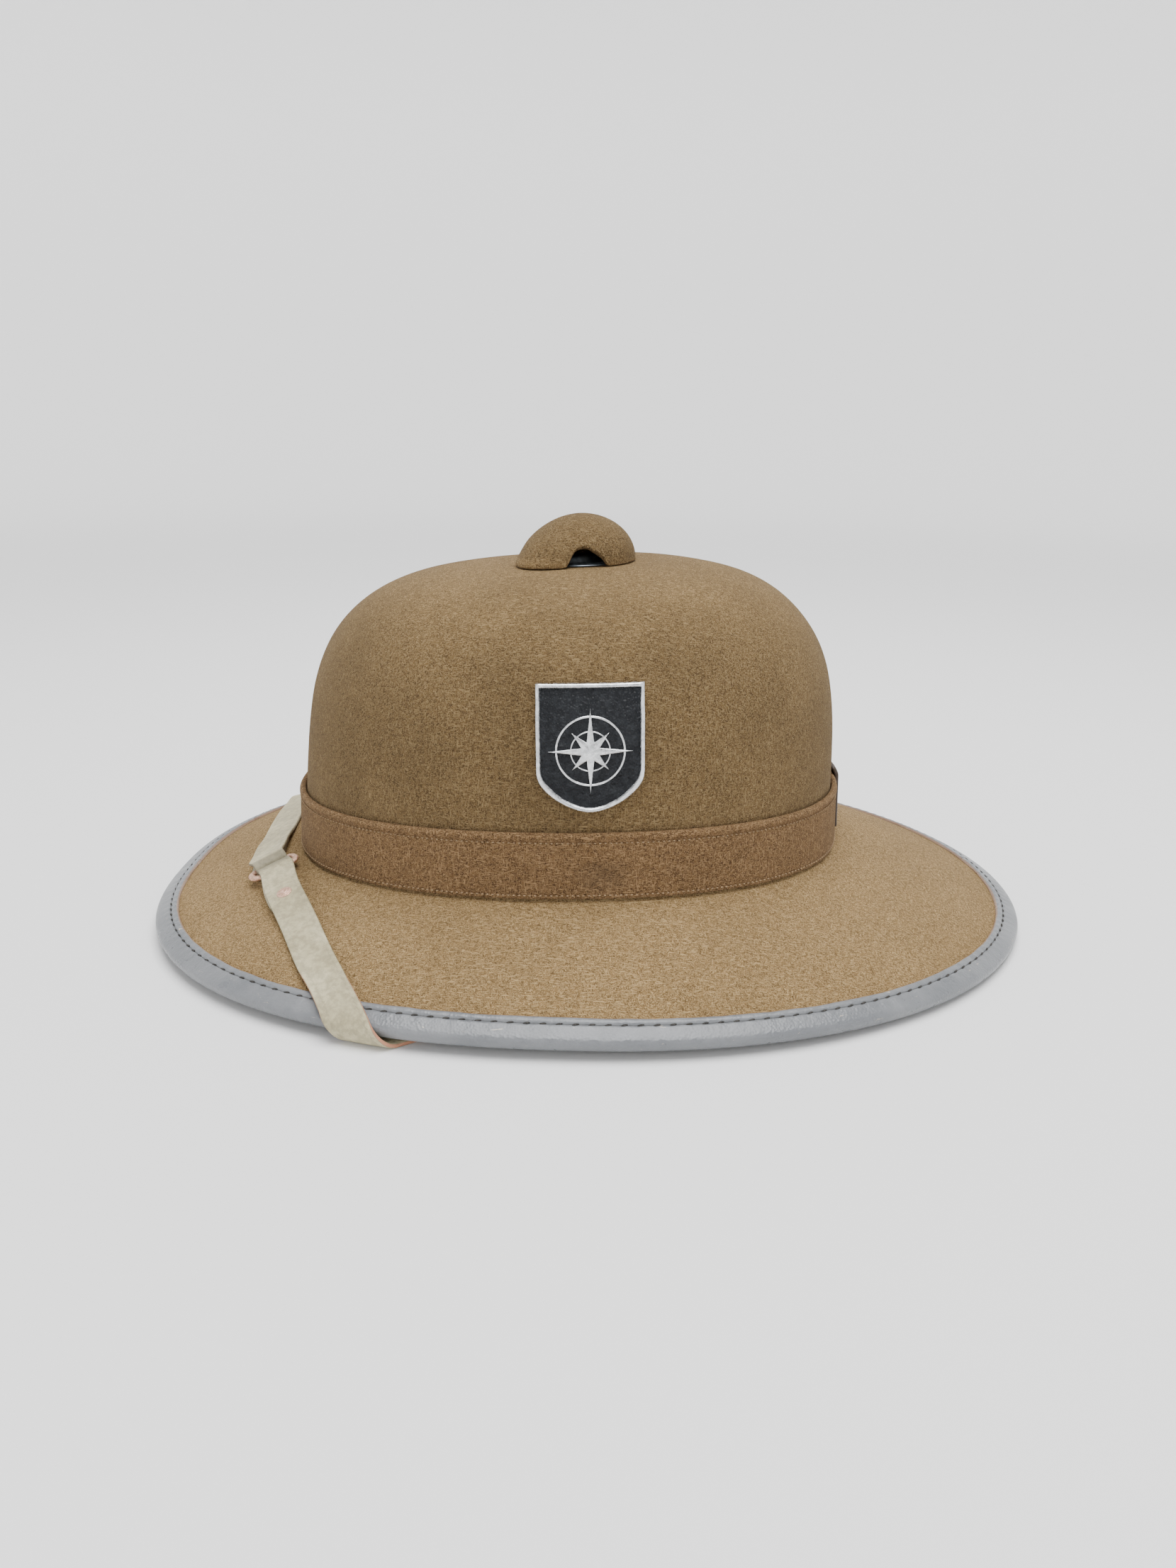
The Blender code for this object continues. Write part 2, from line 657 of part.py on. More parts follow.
def fold_rows(toward):
    """The fold round one bar of the buckle."""
    origin, bar, _, up = buckle_frame()
    centre = origin + toward * BAR_HALF_SPACING + up * BAR_HEIGHT
    rows = []
    for degrees in range(-90, 91, 30):
        turn = math.radians(degrees)
        normal = up * math.sin(turn) - toward * math.cos(turn)
        rows.append((centre + normal * BAR_INSIDE, bar * STRAP_WIDTH / 2, normal))
    return rows


def anchor_place(side):
    """Where a strap lies on the inside of the crown, the wall's normal there, and the strap's heading."""
    angle = ANCHOR_ANGLE * side
    along = head_line(angle - NUDGE * side, ANCHOR_SHARE) - head_line(angle + NUDGE * side, ANCHOR_SHARE)
    inward = along.cross(UP).normalized() * side
    heading = (along.normalized() + UP * math.sqrt(3)) / 2
    return head_line(angle, ANCHOR_SHARE) + inward * (FELT + ANCHOR_SLACK), inward, heading.normalized()


def make_strap(name, direction, route, crossing, skew, side, counts, parts):
    """From its returned end round the buckle's bar, over the brim, round the rim and up to the anchor."""
    origin, bar, forward, _ = buckle_frame()
    toward = forward * direction
    fold = fold_rows(toward)
    wrap, before, after = wrap_rows(crossing, skew)
    wrap = [(centre, half * math.copysign(1, half.dot(bar)), normal) for centre, half, normal in wrap]
    start = origin + toward * (BAR_HALF_SPACING + 2 * STRAP_LEATHER)
    places = [start] + [brim_point(math.radians(degrees), share) for degrees, share in route]
    places.append(wrap[0][0] - before * WRAP_RUN / 2)
    laid, runs = laid_rows([Vector((p.x, p.y, 0)) for p in places], fold[0][1], wrap[0][1], counts[0])
    returned = []
    for (centre, half, normal), run in zip(laid, runs):
        if run <= STRAP_RETURN:
            returned.append((*on_brim(centre, half, normal, STRAP_GAP + STRAP_LEATHER), -normal))
    anchor, inward, heading = anchor_place(side)
    first = wrap[-1][0] + after * HANG_RUN
    corner = anchor - heading * ANCHOR_APPROACH + inward * ANCHOR_STANDOFF
    points = [first, first.lerp(corner, 0.5) - UP * HANG_SAG, corner, anchor - heading * ANCHOR_BELOW,
              anchor, anchor + heading * ANCHOR_TAIL]
    normals = [-UP, (inward - 2 * UP).normalized(), (inward * 2 - UP).normalized(), inward, inward, inward]
    hanging = hanging_rows(points, normals, wrap[-1][1], counts[1])
    rings = []
    for centre, half, normal in returned[::-1] + fold + laid + wrap + hanging:
        lift = normal * STRAP_LEATHER
        rings.append([centre - half, centre + half, centre + half + lift, centre - half + lift])
    add_object(name, loft(rings, cap_ends=True), "khaki_leather", parts)
    return laid, runs


def dome_object(name, centre, normal, radius, height, material, parts):
    """A low domed rivet head standing on a face."""
    bm = bmesh.new()
    bmesh.ops.create_uvsphere(bm, u_segments=16, v_segments=8, radius=radius)
    low = [v for v in bm.verts if v.co.z < -1e-6]
    bmesh.ops.delete(bm, geom=low, context="VERTS")
    edges = [e for e in bm.edges if e.is_boundary]
    bmesh.ops.holes_fill(bm, edges=edges)
    bmesh.ops.recalc_face_normals(bm, faces=bm.faces)
    turn = UP.rotation_difference(normal).to_matrix().to_4x4()
    bm.transform(Matrix.Translation(centre) @ turn @ Matrix.Diagonal((1, 1, height / radius, 1)))
    mesh = bpy.data.meshes.new(name)
    bm.to_mesh(mesh)
    bm.free()
    return add_object(name, mesh, material, parts)


def make_buckle(parts):
    """A wire loop: two bars joined by short rounded ends."""
    origin, bar, forward, up = buckle_frame()
    half_u = STRAP_WIDTH / 2 + BUCKLE_CLEARANCE + BUCKLE_WIRE / 2 - BUCKLE_CORNER
    half_v = BAR_HALF_SPACING - BUCKLE_CORNER
    path = []
    for sign_u, sign_v, start in ((1, 1, 0), (-1, 1, 90), (-1, -1, 180), (1, -1, 270)):
        for degrees in range(start, start + 91, 30):
            turn = math.radians(degrees)
            path.append(bar * (sign_u * half_u + BUCKLE_CORNER * math.cos(turn))
                        + forward * (sign_v * half_v + BUCKLE_CORNER * math.sin(turn)))
    centre = origin + up * BAR_HEIGHT
    rings = []
    for i, middle in enumerate(path):
        across = up.cross(path[(i + 1) % len(path)] - path[i - 1]).normalized()
        rings.append([centre + middle + (across * math.cos(a) + up * math.sin(a)) * BUCKLE_WIRE / 2
                      for a in ANGLES[::8]])
    add_object("strap_buckle", loft(rings, loft_closed=True), "copper_wire", parts)


def make_rivet(laid, runs, parts):
    """The rivet through the lower strap and its returned end."""
    k = min(range(len(runs)), key=lambda i: abs(runs[i] - STRAP_RETURN + RIVET_INSET))
    centre, half, _ = laid[k]
    normal = half.cross(laid[k + 1][0] - laid[k - 1][0]).normalized()
    normal *= math.copysign(1, normal.z)
    dome_object("strap_rivet", centre + normal * (STRAP_LEATHER + STRAP_GAP), normal, RIVET_RADIUS,
                RIVET_HEIGHT, "copper_wire", parts)


def make_straps(parts):
    laid, runs = make_strap("chin_strap_lower", -1, LOWER_ROUTE, LOWER_CROSSING, LOWER_SKEW, -1, (16, 20),
                            parts)
    make_rivet(laid, runs, parts)
    make_strap("chin_strap_upper", 1, UPPER_ROUTE, UPPER_CROSSING, UPPER_SKEW, 1, (20, 24), parts)
    make_buckle(parts)
    for name, side in (("strap_anchor_left", -1), ("strap_anchor_right", 1)):
        place, inward, _ = anchor_place(side)
        dome_object(name, place + inward * (STRAP_LEATHER + GAP), inward, ANCHOR_RADIUS, ANCHOR_RAISE,
                    "zinc", parts)


def main():
    clear_scene()
    parts = make_collection("pith_helmet")
    cutters = make_collection("cutters")
    make_shell(parts)
    make_band(parts)
    make_rear_tab(parts)
    make_binding(parts)
    make_vent_cap(parts, cutters)
    make_vent_ring(parts)
    make_badge(parts)
    make_straps(parts)


main()
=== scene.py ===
"""The looks of a felt pith helmet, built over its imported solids. All lengths are in metres."""

import math
from math import cos, pi, radians, sin

import bpy
import numpy as np
from mathutils import Matrix, Vector, noise


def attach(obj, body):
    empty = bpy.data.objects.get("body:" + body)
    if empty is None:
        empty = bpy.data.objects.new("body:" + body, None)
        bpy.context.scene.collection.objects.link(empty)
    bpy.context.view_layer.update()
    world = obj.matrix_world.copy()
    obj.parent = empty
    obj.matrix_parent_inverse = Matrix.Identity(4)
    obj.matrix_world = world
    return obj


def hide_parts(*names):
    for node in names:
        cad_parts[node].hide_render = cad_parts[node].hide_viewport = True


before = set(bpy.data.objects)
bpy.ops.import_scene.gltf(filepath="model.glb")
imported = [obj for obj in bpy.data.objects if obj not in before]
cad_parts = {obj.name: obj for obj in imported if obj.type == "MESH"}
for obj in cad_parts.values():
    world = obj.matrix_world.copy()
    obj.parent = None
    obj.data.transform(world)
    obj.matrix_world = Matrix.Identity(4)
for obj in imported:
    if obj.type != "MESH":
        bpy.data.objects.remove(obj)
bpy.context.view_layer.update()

# Felt shell
BRIM_LENGTH = 0.342
BRIM_WIDTH = 0.2726
BRIM_ROUNDNESS_FRONT = 2.34
BRIM_ROUNDNESS_REAR = 2.05
BRIM_BULGE = 0.0015
RIM_FRONT_LIFT = 0.002
RIM_SIDE_LIFT = 0.00182
HEAD_LENGTH = 0.2109
HEAD_WIDTH = 0.1704
HEAD_ROUNDNESS = 2.15
HEAD_OFFSET = -0.0098
HEAD_FOOT_HEIGHT = 0.0301
FOOT_REAR_LIFT = 0.0037
FOOT_SIDE_LIFT = 0.0046
CROWN_HEIGHT = 0.137
CROWN_TOP_SHIFT = 0.0025
CROWN_TOP_TILT = 0.0388
CROWN_SIDE_FULLNESS = 3.36
CROWN_TOP_FULLNESS = 3.75
CROWN_TAPER = 0.05
FELT = 0.003
FELT_UNEVENNESS = 0.00035

# Band, binding and rear tab
BAND_HEIGHT = 0.0238
BAND_THICKNESS = 0.002
BAND_TAPER = 0.01
TAB_WIDTH = 0.012
TAB_THICKNESS = 0.0016
TAB_OVERHANG = 0.003
TAB_LIFT = 0.0014
BINDING_DEPTH = 0.0085
BINDING_LEATHER = 0.001
BINDING_FLATTENING = 0.0007
BINDING_FULLNESS = 2.6

# Vent at the top
VENT_SHIFT_X = 0.0007
VENT_Y = -0.004
VENT_HOLE_RADIUS = 0.0142
RING_FLANGE = 0.0039
RING_METAL = 0.0008
RING_PROUD = 0.003
CAP_CLEARANCE = 0.0008
CAP_FELT = 0.0022
CAP_LEAN = 0.0074
CAP_HEIGHT = 0.0181
CAP_FULLNESS = 1.92
CAP_FOOT = 0.0015
ARCH_HEIGHT = 0.0075
ARCH_TURN = radians(-83)

# Shield badge
BADGE_SHIFT = 0.0079
BADGE_PLACE = 0.358
BADGE_WIDTH = 0.036
BADGE_HEIGHT = 0.0426
BADGE_TILT = radians(1.3)
BADGE_SHOULDER = 0.42
BADGE_FULLNESS = 1.6
BADGE_PLATE = 0.0012
BADGE_RIM_WIDTH = 0.0013
BADGE_RIM_RAISE = 0.0009
BADGE_STAR_RADIUS = 0.0142
BADGE_STAR_RAISE = 0.0014
BADGE_GAP = 0.0004
SHOULDER_ROUNDING = 6

# Chin strap
STRAP_WIDTH = 0.0129
STRAP_LEATHER = 0.0016
STRAP_GAP = 0.0004
STRAP_RETURN = 0.024
STRAP_RAMP = 0.012
WRAP_RUN = 0.009
BUCKLE_ANGLE = radians(204.6)
BUCKLE_SHARE = 0.253
BUCKLE_TURN = radians(32)
BUCKLE_WIRE = 0.0018
BUCKLE_CLEARANCE = 0.0012
BUCKLE_CORNER = 0.0022
RIVET_INSET = 0.006
RIVET_RADIUS = 0.0028
RIVET_HEIGHT = 0.001
ANCHOR_ANGLE = radians(70)
ANCHOR_SHARE = 0.315
ANCHOR_RADIUS = 0.0045
ANCHOR_RAISE = 0.0014
ANCHOR_SLACK = 0.0011
ANCHOR_APPROACH = 0.022
ANCHOR_STANDOFF = 0.004
ANCHOR_BELOW = 0.01
ANCHOR_TAIL = 0.008
FOLD_LOOSENESS = 0.0012
RETURN_SHARE = 0.94
STRAP_SMOOTHING = 8
EASED_ROWS = 6
LAID_STEPS = 44
HANGING_STEPS = 40
HANG_RUN = 0.012
HANG_SAG = 0.002
GAP = 0.0003
PROUD = 0.0001

LOWER_ROUTE = [(215.6, 0.319), (226.0, 0.444), (235.0, 0.63)]
LOWER_CROSSING = radians(247.6)
LOWER_SKEW = radians(42.4)
UPPER_ROUTE = [(189.9, 0.226), (178.2, 0.248), (166.0, 0.355), (153.2, 0.6)]
UPPER_CROSSING = radians(140.0)
UPPER_SKEW = radians(-37.4)
CAP_LEANING = [(0, 0.0), (90, 0.07), (180, 0.3), (225, 1.0), (270, 0.02), (315, 0.0), (360, 0.0)]

VENT_X = HEAD_OFFSET + CROWN_TOP_SHIFT + VENT_SHIFT_X
FLANGE_RADIUS = VENT_HOLE_RADIUS + RING_FLANGE
CAP_RADIUS = FLANGE_RADIUS + CAP_CLEARANCE + CAP_FELT
BAR_INSIDE = BUCKLE_WIRE / 2 + GAP
BAR_HALF_SPACING = BAR_INSIDE + STRAP_LEATHER + GAP / 2
BAR_HEIGHT = STRAP_GAP + STRAP_LEATHER + BAR_INSIDE
NUDGE = 0.001
ROUNDS = 12
UP = Vector((0, 0, 1))
TURN = 2 * pi


# The helmet's own surfaces

def rounded(value, exponent):
    return math.copysign(abs(value) ** (2 / exponent), value)


def blend(a, b, share):
    return a + (b - a) * share


def fade(value, low, high):
    """0 below low, 1 above high, smooth between."""
    share = max(0.0, min(1.0, (value - low) / (high - low)))
    return share * share * (3 - 2 * share)


def brim_edge(angle):
    c, s = cos(angle), sin(angle)
    n = BRIM_ROUNDNESS_REAR if c > 0 else BRIM_ROUNDNESS_FRONT
    rise = RIM_FRONT_LIFT * (1 - c) / 2 + RIM_SIDE_LIFT * (1 - cos(2 * angle)) / 2
    height = FELT + GAP + BINDING_LEATHER - BINDING_FLATTENING + rise
    return Vector((BRIM_LENGTH / 2 * rounded(c, n), BRIM_WIDTH / 2 * rounded(s, n), height))


def head_line(angle, share):
    c, s = cos(angle), sin(angle)
    size = 1 - BAND_TAPER * share
    foot = HEAD_FOOT_HEIGHT + FOOT_REAR_LIFT * c / 2 - FOOT_SIDE_LIFT * cos(2 * angle) / 2
    return Vector((HEAD_OFFSET + HEAD_LENGTH / 2 * rounded(c, HEAD_ROUNDNESS) * size,
                   HEAD_WIDTH / 2 * rounded(s, HEAD_ROUNDNESS) * size,
                   foot + BAND_HEIGHT * share))


def brim_point(angle, share):
    point = head_line(angle, 0).lerp(brim_edge(angle), share)
    point.z += BRIM_BULGE * 4 * share * (1 - share)
    return point


def binding_share(angle):
    return 1 - BINDING_DEPTH / (brim_edge(angle) - head_line(angle, 0)).length


def cap_radius(angle):
    degrees = math.degrees(angle) % 360
    span = max(i for i, row in enumerate(CAP_LEANING[:-1]) if row[0] <= degrees)
    (before, low), (after, high) = CAP_LEANING[span:span + 2]
    return CAP_RADIUS + CAP_LEAN * blend(low, high, fade(degrees, before, after))


SEAT_SHARE = (cap_radius(radians(270)) - VENT_Y) / (HEAD_WIDTH / 2)


def crown_spread(turn):
    height = sin(turn) ** (2 / CROWN_TOP_FULLNESS)
    width = cos(turn) ** (2 / CROWN_SIDE_FULLNESS) * (1 - CROWN_TAPER * height)
    return width, height


def crown_point(angle, turn):
    width, height = crown_spread(turn)
    foot = head_line(angle, 1)
    x = HEAD_OFFSET + CROWN_TOP_SHIFT * height + (foot.x - HEAD_OFFSET) * width
    tilt = CROWN_TOP_TILT * (x - VENT_X) * min(1, (1 - width) / (1 - SEAT_SHARE))
    return Vector((x, foot.y * width, foot.z + (CROWN_HEIGHT - foot.z) * height + tilt * height))


def halved(low, high, is_low):
    """The place between low and high where is_low stops being true."""
    for _ in range(40):
        middle = (low + high) / 2
        low, high = (middle, high) if is_low(middle) else (low, middle)
    return low


SEAT_TURN = halved(0.0, pi / 2, lambda turn: crown_spread(turn)[0] > SEAT_SHARE)


def round_vent(angle, reach):
    return VENT_X + reach * cos(angle), VENT_Y + reach * sin(angle)


def vent_seat(x):
    rear, front = crown_point(0, SEAT_TURN), crown_point(pi, SEAT_TURN)
    return front.z + (rear.z - front.z) / (rear.x - front.x) * (x - front.x)


def crown_side(x, z):
    """Y of the crown's outside on the near side."""
    angle, turn = radians(270), 0.0
    for _ in range(ROUNDS):
        turn = halved(0.0, SEAT_TURN, lambda t: crown_point(angle, t).z < z)
        angle = halved(pi, TURN, lambda a: crown_point(a, turn).x < x)
    return crown_point(angle, turn).y


def brim_height(x, y):
    angle = math.atan2(y / BRIM_WIDTH, (x - HEAD_OFFSET / 2) / BRIM_LENGTH)
    share = 0.5
    for _ in range(ROUNDS):
        here = brim_point(angle, share)
        turn = (brim_point(angle + NUDGE, share) - here) / NUDGE
        move = (brim_point(angle, share + NUDGE) - here) / NUDGE
        dx, dy = x - here.x, y - here.y
        area = turn.x * move.y - turn.y * move.x
        angle += (dx * move.y - dy * move.x) / area
        share += (turn.x * dy - turn.y * dx) / area
    return brim_point(angle, share).z


def brim_normal(x, y):
    slope_x = (brim_height(x + NUDGE, y) - brim_height(x - NUDGE, y)) / (2 * NUDGE)
    slope_y = (brim_height(x, y + NUDGE) - brim_height(x, y - NUDGE)) / (2 * NUDGE)
    return Vector((-slope_x, -slope_y, 1)).normalized()


def smooth_path(points, count):
    """Points read evenly from a Catmull-Rom curve through the given ones."""
    points = [2 * points[0] - points[1]] + points + [2 * points[-1] - points[-2]]
    spans = len(points) - 3
    result = []
    for i in range(count + 1):
        k = min(spans * i // count, spans - 1)
        f = spans * i / count - k
        p0, p1, p2, p3 = points[k:k + 4]
        result.append(0.5 * (2 * p1 + (p2 - p0) * f + (2 * p0 - 5 * p1 + 4 * p2 - p3) * f * f
                             + (3 * p1 - p0 - 3 * p2 + p3) * f ** 3))
    return result


def running_lengths(points):
    """How far each point lies along the line through them."""
    runs = [0.0]
    for a, b in zip(points, points[1:]):
        runs.append(runs[-1] + (b - a).length)
    return runs


# Modelling helpers

def at(table, share):
    """The row of a table that lies nearest to a share of its length."""
    return table[round(share * (len(table) - 1))]


def pick(obj):
    bpy.ops.object.select_all(action="DESELECT")
    obj.select_set(True)
    bpy.context.view_layer.objects.active = obj


def shaped_grid(name, columns, rows, place, closed=False):
    """A grid primitive carried onto the surface place(u, v), with its seams merged."""
    bpy.ops.object.select_all(action="DESELECT")
    bpy.ops.mesh.primitive_grid_add(x_subdivisions=columns, y_subdivisions=rows, size=2)
    obj = bpy.context.object
    obj.name = obj.data.name = name
    for vertex in obj.data.vertices:
        vertex.co = place((vertex.co.x + 1) / 2, (vertex.co.y + 1) / 2)
    bpy.ops.object.mode_set(mode="EDIT")
    bpy.ops.mesh.select_all(action="SELECT")
    bpy.ops.mesh.remove_doubles(threshold=2e-6)
    if closed:
        bpy.ops.mesh.fill_holes(sides=0)
        bpy.ops.mesh.normals_make_consistent(inside=False)
    bpy.ops.object.mode_set(mode="OBJECT")
    return obj


def finish_with(obj, kind, **settings):
    """Add a modifier and apply it."""
    pick(obj)
    modifier = obj.modifiers.new(kind, kind)
    for name, value in settings.items():
        setattr(modifier, name, value)
    bpy.ops.object.modifier_apply(modifier=modifier.name)


def thicken(obj, thickness, rounding=1):
    """A wall grown inwards from the outer surface, with rounded edges."""
    finish_with(obj, "SOLIDIFY", thickness=thickness, offset=-1, use_even_offset=True)
    if rounding:
        soften(obj, rounding)


def soften(obj, levels):
    finish_with(obj, "SUBSURF", levels=levels, render_levels=levels)


def copies(name, template, places):
    """A small shape copied to many places and joined as one piece."""
    row = []
    for place in places:
        copy = template.copy()
        copy.data = template.data.copy()
        copy.data.transform(place)
        bpy.context.scene.collection.objects.link(copy)
        row.append(copy)
    bpy.data.objects.remove(template)
    bpy.ops.object.select_all(action="DESELECT")
    for copy in row:
        copy.select_set(True)
    bpy.context.view_layer.objects.active = row[0]
    bpy.ops.object.join()
    row[0].name = row[0].data.name = name
    return row[0]


def dress(obj, material, slot, *nodes, crease=40):
    """Finish a piece: its material, smooth shading, body and the solids that it stands for."""
    obj.data.materials.clear()
    obj.data.materials.append(material)
    pick(obj)
    bpy.ops.object.shade_smooth_by_angle(angle=radians(crease))
    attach(obj, "root")
    if nodes:
        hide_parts(*nodes)
    return obj


def directions(along, normal, centre):
    """A placing matrix with X along, Z on the normal."""
    along = (along - normal * along.dot(normal)).normalized()
    side = normal.cross(along)
    return Matrix(((along.x, side.x, normal.x, centre.x), (along.y, side.y, normal.y, centre.y),
                   (along.z, side.z, normal.z, centre.z), (0, 0, 0, 1)))


# Materials

class Finish:
    """A principled material and short ways to add its nodes."""

    def __init__(self, name, roughness, metallic=0.0):
        self.material = bpy.data.materials.new(name)
        self.material.use_nodes = True
        self.tree = self.material.node_tree
        self.shader = self.tree.nodes["Principled BSDF"]
        self.shader.inputs["Roughness"].default_value = roughness
        self.shader.inputs["Metallic"].default_value = metallic
        self.place = self.add("TexCoord", {})["Object"]

    def link(self, source, node, socket):
        """Give a socket another node's output, a number or a colour."""
        if hasattr(source, "is_output"):
            self.tree.links.new(source, node.inputs[socket])
            return
        if isinstance(source, tuple) and len(node.inputs[socket].default_value) > len(source):
            source = (*source, 1.0)
        node.inputs[socket].default_value = source

    def add(self, kind, sockets, **settings):
        node = self.tree.nodes.new("ShaderNode" + kind)
        for name, value in settings.items():
            setattr(node, name, value)
        for socket, source in sockets.items():
            self.link(source, node, socket)
        return node.outputs

    def mapped(self, scale, turn=(0, 0, 0), place=(0, 0, 0)):
        return self.add("Mapping", {"Vector": self.place, "Scale": scale, "Rotation": turn,
                                    "Location": place})[0]

    def noise(self, scale, detail=3.0, roughness=0.55, source=None, distortion=0.0):
        return self.add("TexNoise", {"Vector": source or self.place, "Scale": scale, "Detail": detail,
                                     "Roughness": roughness, "Distortion": distortion})[0]

    def cells(self, scale, feature="F1"):
        return self.add("TexVoronoi", {"Vector": self.place, "Scale": scale}, feature=feature)["Distance"]

    def between(self, value, low, high, to_low=0.0, to_high=1.0):
        sockets = dict(enumerate((value, low, high, to_low, to_high)))
        return self.add("MapRange", sockets, interpolation_type="SMOOTHSTEP")[0]

    def math(self, operation, a, b=0.0):
        return self.add("Math", {0: a, 1: b}, operation=operation)[0]

    def scaled(self, value, factor):
        return self.math("MULTIPLY", value, factor)

    def mix(self, share, a, b, kind="MIX"):
        return self.add("Mix", {0: share, 6: a, 7: b}, data_type="RGBA", blend_type=kind)[2]

    def split(self, source):
        return self.add("SeparateXYZ", {0: source})

    def own(self):
        return self.add("UVMap", {}, uv_map="UVMap")[0]

    def bump(self, height, distance, strength=1.0, before=None):
        sockets = {"Height": height, "Distance": distance, "Strength": strength}
        if before:
            sockets["Normal"] = before
        return self.add("Bump", sockets)[0]

    def wear(self, colour, normal=None, roughness=None, shine=None, sheen=(None, None, None)):
        sockets = {"Base Color": colour, "Normal": normal, "Roughness": roughness,
                   "Specular IOR Level": shine, "Sheen Weight": sheen[0], "Sheen Roughness": sheen[1],
                   "Sheen Tint": sheen[2]}
        for socket, source in sockets.items():
            if source is not None:
                self.link(source, self.shader, socket)
        return self.material


def felt(name, deep, middle, pale, light_shade_and_tone_by_height=None, stain=None):
    """Pressed wool: fine mottling and grain, and short pale hairs lying in all directions."""
    finish = Finish(name, 0.95)
    mottle = finish.noise(860, 4, 0.66, distortion=0.4)
    grain = finish.noise(2600, 2, 0.6)
    colour = finish.mix(finish.between(mottle, 0.4, 0.6), deep, middle)
    colour = finish.mix(finish.between(grain, 0.44, 0.66, 0.0, 0.5), colour, pale)
    heights = finish.math("ADD", finish.scaled(mottle, 0.7), finish.scaled(grain, 0.5))
    for scale, turn in (((2600, 2600, 380), (0.1, 0.5, 0.3)), ((380, 2600, 2600), (0.3, 0.2, 0.7)),
                        ((2400, 480, 2400), (0.6, 0.1, -0.5)), ((420, 2400, 2400), (-0.4, 0.9, -0.3))):
        strokes = finish.noise(1.0, 1, 0.5, source=finish.mapped(scale, turn), distortion=0.5)
        lit = finish.between(strokes, 0.6, 0.68)
        colour = finish.mix(finish.scaled(lit, 0.85), colour, pale)
        heights = finish.math("ADD", heights, finish.scaled(lit, 0.4))
    tone = finish.between(finish.noise(30, 4, 0.6), 0.3, 0.7, 0.93, 1.06)
    # Painted light and shade by height: darker crown walls as painted shade and a lighter top as painted
    # light from above; the highest band also makes the vent cap darker.
    if light_shade_and_tone_by_height:
        height = finish.split(finish.place)[2]
        for low, high, change in light_shade_and_tone_by_height:
            tone = finish.math("ADD", tone, finish.between(height, low, high, 0.0, change))
    colour = finish.mix(1.0, colour, tone, "MULTIPLY")
    if stain:
        centre, size, tint = stain
        spot = finish.mapped(tuple(1 / s for s in size), place=tuple(-c / s for c, s in zip(centre, size)))
        reach = finish.add("VectorMath", {0: spot}, operation="LENGTH")["Value"]
        edge = finish.math("ADD", reach, finish.scaled(finish.noise(260, 4), 0.8))
        colour = finish.mix(finish.between(edge, 0.7, 1.5, 0.3, 0.0), colour, tint)
    return finish.wear(colour, finish.bump(heights, 0.0006, 0.8), shine=0.15,
                       sheen=(0.09, 0.45, (0.75, 0.56, 0.32)))


def leather(name, base, pale, roughness, grain_scale=900, depth=0.00025):
    """Finished leather with fine pores, soft patches and pale scuffs."""
    finish = Finish(name, roughness)
    grain = finish.cells(grain_scale)
    patches = finish.between(finish.noise(60, 5, 0.6), 0.35, 0.7)
    scuffs = finish.between(finish.noise(240, 6, 0.7), 0.62, 0.78)
    colour = finish.mix(finish.scaled(patches, 0.45), base, pale)
    colour = finish.mix(finish.scaled(scuffs, 0.35), colour, pale)
    rough = finish.between(finish.noise(120, 4), 0.3, 0.7, roughness - 0.08, roughness + 0.1)
    return finish, colour, rough, finish.bump(grain, depth, 0.5)


def binding_leather():
    """Grey hide: a raw orange line at its inner edge, and short cracks where it turns over the rim."""
    finish, colour, rough, normal = leather("grey_binding_leather", (0.138, 0.145, 0.154),
                                            (0.232, 0.237, 0.244), 0.34, 1100, 0.0002)
    across = finish.split(finish.own())[1]
    raw = finish.between(across, RAW_EDGE - 0.006, RAW_EDGE + 0.004)
    colour = finish.mix(finish.scaled(raw, 0.8), colour, (0.26, 0.15, 0.085))
    # Painted shade: a dark band along the sunk stitch line, where shade falls in the groove.
    seam_shade_reach = finish.math("ABSOLUTE", finish.math("SUBTRACT", across, SEAM_LINE))
    colour = finish.mix(finish.between(seam_shade_reach, 0.003, 0.014, 0.55, 0.0), colour, (0.075, 0.075, 0.072))
    cracks = finish.noise(1.0, 3, 0.6, source=finish.mapped((160, 160, 1500)), distortion=1.2)
    colour = finish.mix(finish.between(cracks, 0.69, 0.74, 0.0, 0.8), colour, (0.52, 0.45, 0.36))
    return finish.wear(colour, normal, rough, shine=0.5)


